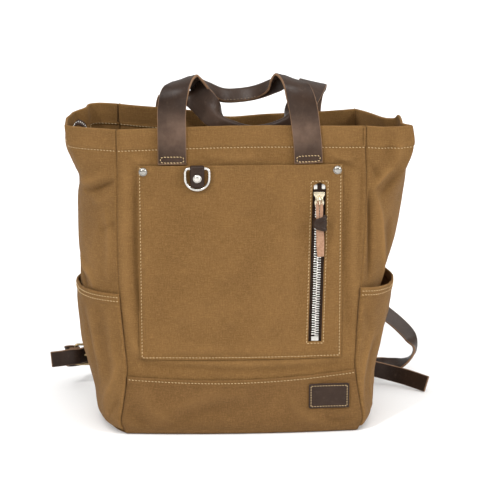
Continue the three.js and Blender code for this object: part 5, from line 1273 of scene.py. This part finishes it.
for side, own in side_pockets.items():
    wide = wall_wide[side]
    near = np.linspace(0.0002, 0.045, 42)
    t = np.concatenate([near, np.linspace(0.045, wide - 0.045, 32)[1:-1], wide - near[::-1]]) / wide
    up = places(0, 0.164, 0.0027, extra=(0.152,), round_off=0.0014) / 0.164
    t, up = np.meshgrid(t, up)
    top = own["high"] - side_dip * np.sin(np.pi * t) * own["dip"]
    z = side_low + (top - side_low) * up
    at, normal = on_wall(side, t, z)
    flat = normal * (1, 1, 0)
    flat /= np.linalg.norm(flat, axis=-1, keepdims=True)
    gape = own["gape"] * ease((up - 0.25) / 0.75) * np.sin(np.pi * t) ** 0.7
    u, v, under_top = along_cloth(at) / mm, z / mm, (top - z) / mm
    swell = fold_height(u, v, own["folds"]) + ripple(u, v, 51 + len(side), 60) * 0.45
    swell += ripple(u, v, 53 + len(side), 18) * 0.12
    to_seam = np.minimum(u, u[:, -1:] - u)
    swell = np.maximum(swell, -0.9 - gape / mm * 0.8) * ease(to_seam / 6) * ease((v - 8) / 12)
    swell *= 1 - 0.7 * np.exp(-(under_top / 9) ** 2)
    for row in (4.0, 8.6):
        swell = swell - 0.35 * np.exp(-((under_top - row) / 0.8) ** 2)
    thick = cloth_thick * (1 + 0.8 * ease((12.2 - under_top) / 0.8))
    proud = (0.0012 + cloth_thick) * (0.35 + 0.65 * ease(to_seam / 3))
    grid = at + flat * (proud + gape + swell * mm + (thick - cloth_thick) * 0.6)[..., None]
    grid[..., 2] = z
    piece = sheet("canvas_side_pocket_" + side, grid, thick, at * (1, 1, 0), tobacco, "canvas",
                  np.stack([u * mm, v * mm, 0 * u + 9 + len(side)], -1), swell)
    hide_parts("side_pocket_" + side)
    face_normal = normals_of(grid, at * (1, 1, 0))
    runs = []
    for row in (4.0, 8.6):
        line, out = [], []
        for j in range(1, grid.shape[1] - 1):
            line.append([np.interp(row, under_top[::-1, j], grid[::-1, j, c]) for c in range(3)])
            out.append([np.interp(row, under_top[::-1, j], face_normal[::-1, j, c]) for c in range(3)])
        runs.append((line, out))
    stitches("side_pocket_stitches_" + side, runs)


# Handles: two leather straps 32 mm wide and 3 mm thick. Each is sewn flat to the outside of the bag at both legs,
# and its middle is folded lengthwise with the fold on top and stitched along the lower edge as the grip.
handle_wide, handle_thick = 0.032, 0.003
rim_round = 0.0025
box_inset, box_near, box_far = 0.003, 0.0022, 0.0088
handle_rows = {
    "front": [
        # x, y, z, width direction x, y, z, grip
        (-77.8, -61.9, 319, 1, 0, 0, 0), (-77.8, -60.5, 340.5, 1, 0, 0, 0), (-77.8, -59.1, 362, 1, 0, 0, 0),
        (-77.6, -59.2, 380, 1, 0, 0.02, 0), (-75.8, -58.5, 393.5, 0.98, -0.12, 0.12, 0),
        (-71.0, -54.4, 404.5, 0.92, -0.32, 0.2, 0), (-64.8, -46.0, 411.0, 0.78, -0.55, 0.28, 0),
        (-57.4, -37.0, 412.0, 0.58, -0.62, 0.45, 0.05), (-39.5, -24.0, 398.6, 0.3, 0.2, 0.93, 0.75),
        (-19.4, -12.2, 387.2, 0.08, 0.45, 0.88, 1), (0, -6.8, 386.1, 0, 0.5, 0.86, 1),
        (19.4, -12.2, 390.5, -0.1, 0.45, 0.88, 1), (37.4, -24.0, 401.0, -0.32, 0.2, 0.92, 0.75),
        (48.4, -37.0, 412.5, -0.58, -0.62, 0.45, 0.05), (54.4, -46.0, 411.8, -0.78, -0.55, 0.28, 0),
        (60.4, -54.4, 405.6, -0.92, -0.32, 0.2, 0), (65.6, -58.5, 393.4, -0.98, -0.12, 0.12, 0),
        (69.4, -59.2, 378.0, -1, 0, 0.04, 0), (71.6, -59.2, 362, -1, 0, 0, 0),
        (74.0, -60.5, 340.5, -1, 0, 0, 0), (75.0, -61.9, 319, -1, 0, 0, 0)],
    "back": [
        (-80.1, 53.2, 319, 1, 0, 0, 0), (-80.1, 50.6, 340.5, 1, 0, 0, 0), (-80.1, 49.6, 364.2, 1, 0, 0, 0),
        (-77.0, 46.2, 375.0, 1, 0, 0, 0), (-75.0, 20.4, 380.4, 0.98, 0, 0.1, 0),
        (-71.9, -5.4, 386.5, 0.96, 0.1, 0.15, 0), (-64.1, -24.6, 392.0, 0.93, 0.2, 0.15, 0),
        (-53.5, -32.9, 394.0, 0.88, 0.1, 0.42, 0), (-42.0, -36.2, 384.5, 0.80, 0, 0.58, 0.05),
        (-27.4, -37.8, 367.4, 0.62, 0.1, 0.78, 0.35), (-7.2, -35.4, 353.3, 0.25, 0.1, 0.95, 0.9),
        (10.9, -31.3, 347.4, 0.05, 0.1, 1, 1), (32.7, -28.6, 349.0, -0.2, 0.1, 0.95, 1),
        (49.8, -27.2, 356.6, -0.5, 0.1, 0.85, 0.7), (62.2, -23.1, 369.6, -0.75, 0, 0.6, 0.3),
        (73.9, -13.6, 384.7, -0.9, 0, 0.4, 0.05), (81.6, 1.4, 394.4, -0.95, 0, 0.3, 0),
        (85.5, 19.0, 396.0, -0.96, 0.05, 0.22, 0), (86.3, 37.4, 386.3, -0.98, 0.05, 0.1, 0),
        (84.0, 55.8, 373.9, -1, 0, 0, 0), (81.6, 50.0, 362, -1, 0, 0, 0),
        (81.6, 51.0, 340.5, -1, 0, 0, 0), (81.6, 53.5, 319, -1, 0, 0, 0)],
}


def folded_outline(grip, wide, thick, steps=23, round_steps=5):
    """Outline of a strap folded lengthwise by a share of a full fold, and how near each point is to a cut edge"""
    angle = grip * math.pi / 2
    bend = thick * 0.54 * math.pi / 2
    p = np.linspace(-wide / 2, wide / 2, 161)
    theta = angle * np.clip(p / bend, -1, 1)
    step = p[1] - p[0]
    a = np.concatenate([[0], np.cumsum((np.cos(theta[1:]) + np.cos(theta[:-1])) / 2 * step)])
    b = -np.concatenate([[0], np.cumsum((np.sin(theta[1:]) + np.sin(theta[:-1])) / 2 * step)])
    a, b = a - a[80], b - b[80] + math.sin(angle) * wide / 4
    share = np.linspace(-1, 1, steps)
    where = np.interp(np.sign(share) * np.abs(share) ** 1.15 * (wide / 2 - thick * 0.3), p, np.arange(161.0))
    pick = lambda values: np.interp(where, np.arange(161.0), values)
    a, b, theta = pick(a), pick(b), pick(theta)
    out = np.stack([a + np.sin(theta) * thick / 2, b + np.cos(theta) * thick / 2], -1)
    inn = np.stack([a - np.sin(theta) * thick / 2, b - np.cos(theta) * thick / 2], -1)
    ends = []
    for k, way in ((-1, 1), (0, -1)):
        along = np.array([math.cos(theta[k]), -math.sin(theta[k])]) * way
        across = np.array([math.sin(theta[k]), math.cos(theta[k])]) * way
        turn_angles = np.linspace(math.pi / 2, -math.pi / 2, round_steps + 2)[1:-1]
        middle = np.array([a[k], b[k]])
        ends.append([middle + across * math.sin(t) * thick / 2 + along * math.cos(t) * thick * 0.3
                     for t in turn_angles])
    outline = np.concatenate([out, ends[0], inn[::-1], ends[1]])
    mark = np.concatenate([np.zeros(steps), np.ones(round_steps), np.zeros(steps), np.ones(round_steps)])
    return outline, mark


def end_box(line, wide, face, half, thick, near, far):
    """A closed row of stitches on a strap's face, between two distances from its first station"""
    step = np.concatenate([[0], np.cumsum(np.linalg.norm(np.diff(line, axis=0), axis=1))])
    turn_at = np.linspace(0, 2 * math.pi, 41)
    along = (near + far) / 2 + np.sign(np.sin(turn_at)) * np.abs(np.sin(turn_at)) ** 0.55 * (far - near) / 2
    aside = np.sign(np.cos(turn_at)) * np.abs(np.cos(turn_at)) ** 0.35 * half
    line, wide, face = (np.stack([np.interp(along, step, rows[:, c]) for c in range(3)], -1)
                        for rows in (line, wide, face))
    return line + wide * aside[:, None] + face * (thick / 2 + 0.0002), face


for name, rows in handle_rows.items():
    table = np.array(rows, float)
    table[:, :3] *= mm
    stations = route(table, 8)
    grip = np.interp(np.arange(len(stations)) / 8, np.arange(len(table)), table[:, 6])
    grip = np.convolve(np.pad(grip, 3, mode="edge"), np.ones(7) / 7, "valid")
    if name == "front":
        legs = stations[:, 2] < bag_height
        under = [front_face(stations[:, 0] + aside, np.minimum(stations[:, 2], bag_height - rim_round))
                 for aside in (-handle_wide / 2, 0, handle_wide / 2)]
        lie = np.min(under, 0) - handle_thick / 2 - 0.0002
        stations[:, 1] = np.where(legs, np.minimum(stations[:, 1] + 0.0004, lie), stations[:, 1])
    _, wide, face = frames(stations[:, :3], stations[:, 3:])
    turn_by = grip * math.pi / 2
    way = 1 if name == "front" else -1
    across = wide * np.cos(turn_by)[:, None] + way * face * np.sin(turn_by)[:, None]
    outward = -way * face * np.cos(turn_by)[:, None] + wide * np.sin(turn_by)[:, None]
    outlines, mark = zip(*(folded_outline(g, handle_wide, handle_thick) for g in grip))
    points, faces = sweep(stations[:, :3], across, outward, np.array(outlines))
    if name == "front":
        faces = [face_[::-1] for face_ in faces]
    marks = np.array(mark)
    marks[0] = marks[-1] = 1
    # Painted highlight across each leg about 1.7 rows from its end, where the light's sheen falls, over a little
    # burnish all along and a paler middle of the grip
    from_end = np.minimum(np.arange(len(stations)), np.arange(len(stations))[::-1]) / 8
    burnish = 0.10 + 0.80 * np.exp(-((from_end - 1.7) / 0.95) ** 2)
    burnish += 0.12 * np.exp(-((from_end - len(table) / 2) / 3.5) ** 2)
    burnish = burnish[:, None] * (1 - 0.35 * np.abs(np.linspace(-1, 1, marks.shape[1])) ** 2)
    piece = make_piece("handle_strap_" + name, points, faces, dark_hide, slot="leather",
                       marks={"edge": marks.ravel(), "burnish": burnish.ravel()})
    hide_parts("handle_" + name)
    spots = np.where(grip > 0.9)[0]
    runs = []
    for s in (-1, 1):
        line = [stations[k, :3] + across[k] * s * handle_thick * 1.04 - outward[k] * (handle_wide / 4 - 0.003)
                for k in spots]
        runs.append((line, [across[k] * s for k in spots]))
    stitches("handle_stitches_" + name, runs, dark_thread, pitch=0.004, thick=0.0007, slot="leather")
    ends = [end_box(stations[::step, :3], across[::step], outward[::step], handle_wide / 2 - box_inset,
                    handle_thick, box_near, box_far) for step in (1, -1)]
    stitches("handle_end_stitches_" + name, ends, pitch=0.0035, thick=0.00095, slot="leather")


# Shoulder straps and lower straps: leather 20 mm wide and 3 mm thick with raw tan edges. Each shoulder strap is
# sewn high on the back and folded round its buckle's bar, and each lower strap is sewn at the base, buckled, with a
# free end past the buckle.
strap_wide, strap_thick = 0.020, 0.003
strap_inset, strap_near, strap_far = 0.0028, 0.0026, 0.0150
strap_rows = {
    "shoulder_strap_left": [
        (-32, 46.4, 313, 20, -0.14, 0), (-38.8, 56.3, 289.6, 1, 0, 0), (-54.7, 75.9, 224.4, 0.98, 0, 0.1),
        (-82.1, 90.4, 159.3, 0.9, 0, 0.3), (-123.1, 110.3, 94.1, 0.7, 0, 0.7),
        (-159.6, 128.3, 43.4, 0.3, 0.1, 0.95),
        (-184.7, 131.4, 30.8, 0, 0, 1), (-199.5, 128.7, 28.2, 0, 0, 1), (-208.6, 120.0, 30.8, 0, 0, 1),
        (-210.2, 112.2, 35.5, 0, 0, 1), (-208.5, 104.9, 43.0, 0.035, 0.002, 1.0),
        (-200.1, 105.5, 42.7, 0.035, 0.002, 1.0),
        (-197.1, 104.5, 42.6, 0.035, 0.002, 1.0), (-195.7, 101.6, 42.5, 0.035, 0.002, 1.0),
        (-196.7, 98.6, 42.6, 0.035, 0.002, 1.0), (-199.6, 97.1, 42.7, 0.035, 0.002, 1.0),
        (-205.7, 96.7, 42.9, 0.035, 0.002, 1.0)],
    "lower_strap_left": [
        (-102, 74.0, 22, 0, 0, 1), (-122, 74.0, 22, 0, 0, 1), (-141.4, 83.0, 22.4, 0, 0, 1),
        (-159.6, 96.6, 30.8, 0, 0, 1),
        (-177.2, 107.1, 41.9, 0.035, 0.002, 1.0), (-183.2, 106.3, 42.1, 0.035, 0.002, 1.0),
        (-190.6, 98.6, 42.4, 0.035, 0.002, 1.0),
        (-194.3, 94.7, 42.5, 0.035, 0.002, 1.0), (-199.2, 92.7, 42.7, 0.035, 0.002, 1.0),
        (-203.4, 92.1, 42.8, 0.035, 0.002, 1.0),
        (-214.3, 92.5, 40.9, 0, 0, 1), (-228, 91.1, 39.8, 0, 0, 1)],
    "shoulder_strap_right": [
        (32, 47.4, 313, -20, -0.12, 0), (42.8, 56.3, 289.6, -1, 0, 0), (61.9, 76.0, 231.7, -0.98, 0, -0.1),
        (95.2, 96.7, 166.5, -0.9, -0.2, -0.3), (142.8, 122.6, 119.5, -0.7, -0.45, -0.5),
        (188.0, 131.2, 81.5, -0.5, -0.68, -0.54),
        (207.1, 134.3, 64.1, -0.6, -0.68, -0.42), (220.2, 135.4, 48.9, -0.65, -0.68, -0.3),
        (224.9, 129.9, 36.2, -0.35, -0.82, 0.4),
        (221.3, 122.6, 28.2, 0.1, -0.82, 0.48), (210.6, 117.9, 21.7, 0.2, -0.95, 0),
        (195.2, 115.4, 18.1, 0.25, -0.7, -0.65),
        (170.5, 103.7, 22.7, -0.105, 0.015, -0.99), (162.3, 104.8, 23.6, -0.105, 0.015, -0.99),
        (159.2, 104.0, 23.9, -0.105, 0.015, -0.99),
        (157.5, 101.3, 24.1, -0.105, 0.015, -0.99), (158.3, 98.2, 23.9, -0.105, 0.015, -0.99),
        (161.1, 96.5, 23.6, -0.105, 0.015, -0.99),
        (167.2, 95.7, 23.0, -0.105, 0.015, -0.99)],
    "lower_strap_right": [
        (102, 74.0, 22, 0, 0, 1), (122, 74.0, 22, 0, 0, 1), (132.1, 80.9, 20.6, 0, 0, 1),
        (136.8, 95.2, 22.8, 0, 0, 1),
        (139.6, 108.0, 26.0, 0.105, -0.015, 0.99), (145.5, 106.8, 25.4, 0.105, -0.015, 0.99),
        (152.3, 98.6, 24.6, 0.105, -0.015, 0.99),
        (155.7, 94.5, 24.1, 0.105, -0.015, 0.99), (160.5, 92.1, 23.6, 0.105, -0.015, 0.99),
        (164.6, 91.2, 23.2, 0.105, -0.015, 0.99),
        (186.8, 90.4, 17.4, 0, 0.1, 1), (209.4, 81.6, 13.4, 0, 0.3, 1), (232.1, 65.3, 10.0, 0, 0.45, 1)],
}
for name, rows in strap_rows.items():
    table = np.array(rows, float)
    table[:, :3] *= mm
    stations = route(table, 8)
    _, wide, face = frames(stations[:, :3], stations[:, 3:])
    outlines = strap_outline(np.full(len(stations), strap_wide), strap_thick, 0.0009, 4, 9)
    points, faces = capped(stations[:, :3], wide, face, outlines, 0.8)
    rim_share = np.abs(outlines[0, :, 0]) > strap_wide / 2 - 0.0007
    marks = np.tile(rim_share.astype(float), len(points) // len(rim_share))
    marks[:3 * len(rim_share)] = marks[-3 * len(rim_share):] = 1
    # The shoulder straps are paler higher up
    share = np.clip((points[:, 2] - 0.03) / 0.05, 0, 1) if name.startswith("shoulder") else 0 * points[:, 2]
    piece = make_piece("leather_" + name, points, faces, dark_hide, slot="leather",
                       marks={"edge": marks, "burnish": 0.02 + 0.16 * share})
    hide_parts(name)
    outward = np.where(face[:1, 1:2] < 0, -1, 1) * face
    run = end_box(stations[:, :3], wide, outward, strap_wide / 2 - strap_inset, strap_thick, strap_near,
                  strap_far)
    stitches("strap_end_stitches_" + name, [run], pitch=0.0035, thick=0.00085, slot="leather")


# Buckles: a cast frame 28.5 mm high of antique brass with a tongue across it.
brass = Finish("antique_brass", (0.42, 0.32, 0.17), 0.34, Metallic=1.0)
patina = brass.noise(brass.place(), 160, 5, 0.6)
brass.put("Base Color", brass.mix((patina - 0.3) * 1.8, (0.17, 0.12, 0.06), (0.55, 0.43, 0.24)))
brass.put("Roughness", 0.22 + patina * 0.3)
brass.put("Normal", brass.bump(patina, 0.00008, 0.5))
buckle_high, buckle_long, buckle_bar = 0.0285, 0.022, 0.003
for name, side, centre, turn_z, tip in (("left", -1, (-0.19038, 0.102, 0.042354), 4, -2),
                                        ("right", 1, (0.15232, 0.102, 0.024616), -8, 6)):
    rz, ry = math.radians(turn_z), math.radians(side * tip)
    spin = np.array([[math.cos(rz), -math.sin(rz), 0], [math.sin(rz), math.cos(rz), 0], [0, 0, 1]])
    spin = spin @ np.array([[math.cos(ry), 0, math.sin(ry)], [0, 1, 0], [-math.sin(ry), 0, math.cos(ry)]])
    place_in = lambda along, out, up: spin @ np.array([side * along, -out, up]) + np.array(centre)
    half_long, half_high, round_off = (buckle_long - buckle_bar) / 2, (buckle_high - buckle_bar) / 2, 0.003
    loop = []
    for ca, cb, first in ((1, -1, -math.pi / 2), (1, 1, 0), (-1, 1, math.pi / 2), (-1, -1, math.pi)):
        for a in np.linspace(first, first + math.pi / 2, 6):
            loop.append(place_in(ca * (half_long - round_off) + round_off * math.cos(a), 0,
                                 cb * (half_high - round_off) + round_off * math.sin(a)))
    loop = np.array(loop)
    outward = place_in(0, 1, 0) - place_in(0, 0, 0)
    _, wide, face = frames(loop, np.tile(outward, (len(loop), 1)), joined=True)
    parts = [sweep(loop, wide, face, oval([buckle_bar] * len(loop), buckle_bar, 12), joined=True)]
    upward = place_in(0, 0, 1) - place_in(0, 0, 0)
    tongue = spline([place_in(half_long + buckle_bar * 0.3, 0, 0),
                     place_in(half_long - buckle_bar, buckle_bar * 0.2, 0),
                     place_in(0, buckle_bar * 0.7, 0),
                     place_in(-half_long - buckle_bar * 0.5, buckle_bar * 0.8, 0)], 6)
    _, wide, face = frames(tongue, np.tile(upward, (len(tongue), 1)))
    tongue_outlines = oval(np.linspace(buckle_bar, buckle_bar * 0.8, len(tongue)), buckle_bar * 0.8, 12)
    parts.append(capped(tongue, wide, face, tongue_outlines))
    piece = make_piece("buckle_frame_" + name, *join(parts), brass, slot="antique_brass")
    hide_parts("buckle_" + name)


# The end of the closure zip: its tape is sewn in beside the left gusset and arches over inside the mouth, with the
# last of its nickel teeth along the middle.
closure_rows = [(-190.6, -7.0, 334.5), (-190.5, -7.0, 342), (-188.8, -7.0, 351.8), (-183.9, -7.0, 357),
                (-177.1, -7.0, 353.2), (-174.1, -7.0, 342), (-173.4, -7.0, 328.5)]
closure_wide, closure_thick = 0.024, 0.0018
closure_tooth, closure_pitch = (0.0060, 0.0032, 0.0013), 0.0021
centres = spline(np.array(closure_rows) * mm, 6)
_, wide, face = frames(centres, np.tile((0, 1.0, 0), (len(centres), 1)))
tape_outlines = strap_outline(np.full(len(centres), closure_wide), closure_thick, 0.0007, 3, 9)
points, faces = capped(centres, wide, face, tape_outlines, 0.5)
piece = make_piece("closure_zip_tape", points, faces, twill, slot="closure_tape")
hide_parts("closure_zip_end")
step = np.concatenate([[0], np.cumsum(np.linalg.norm(np.diff(centres, axis=0), axis=1))])
teeth = []
for d in np.arange(0.006, step[-1] - 0.004, closure_pitch):
    at = np.array([np.interp(d, step, centres[:, c]) for c in range(3)])
    k = int(np.searchsorted(step, d))
    points, faces = block((0, 0, 0), closure_tooth, 0.0004, 1)
    way = np.cross(wide[k], face[k])
    teeth.append((at + points[:, :1] * wide[k] + points[:, 1:2] * face[k] + points[:, 2:] * way, faces))
make_piece("closure_zip_teeth", *join(teeth), nickel, slot="nickel")
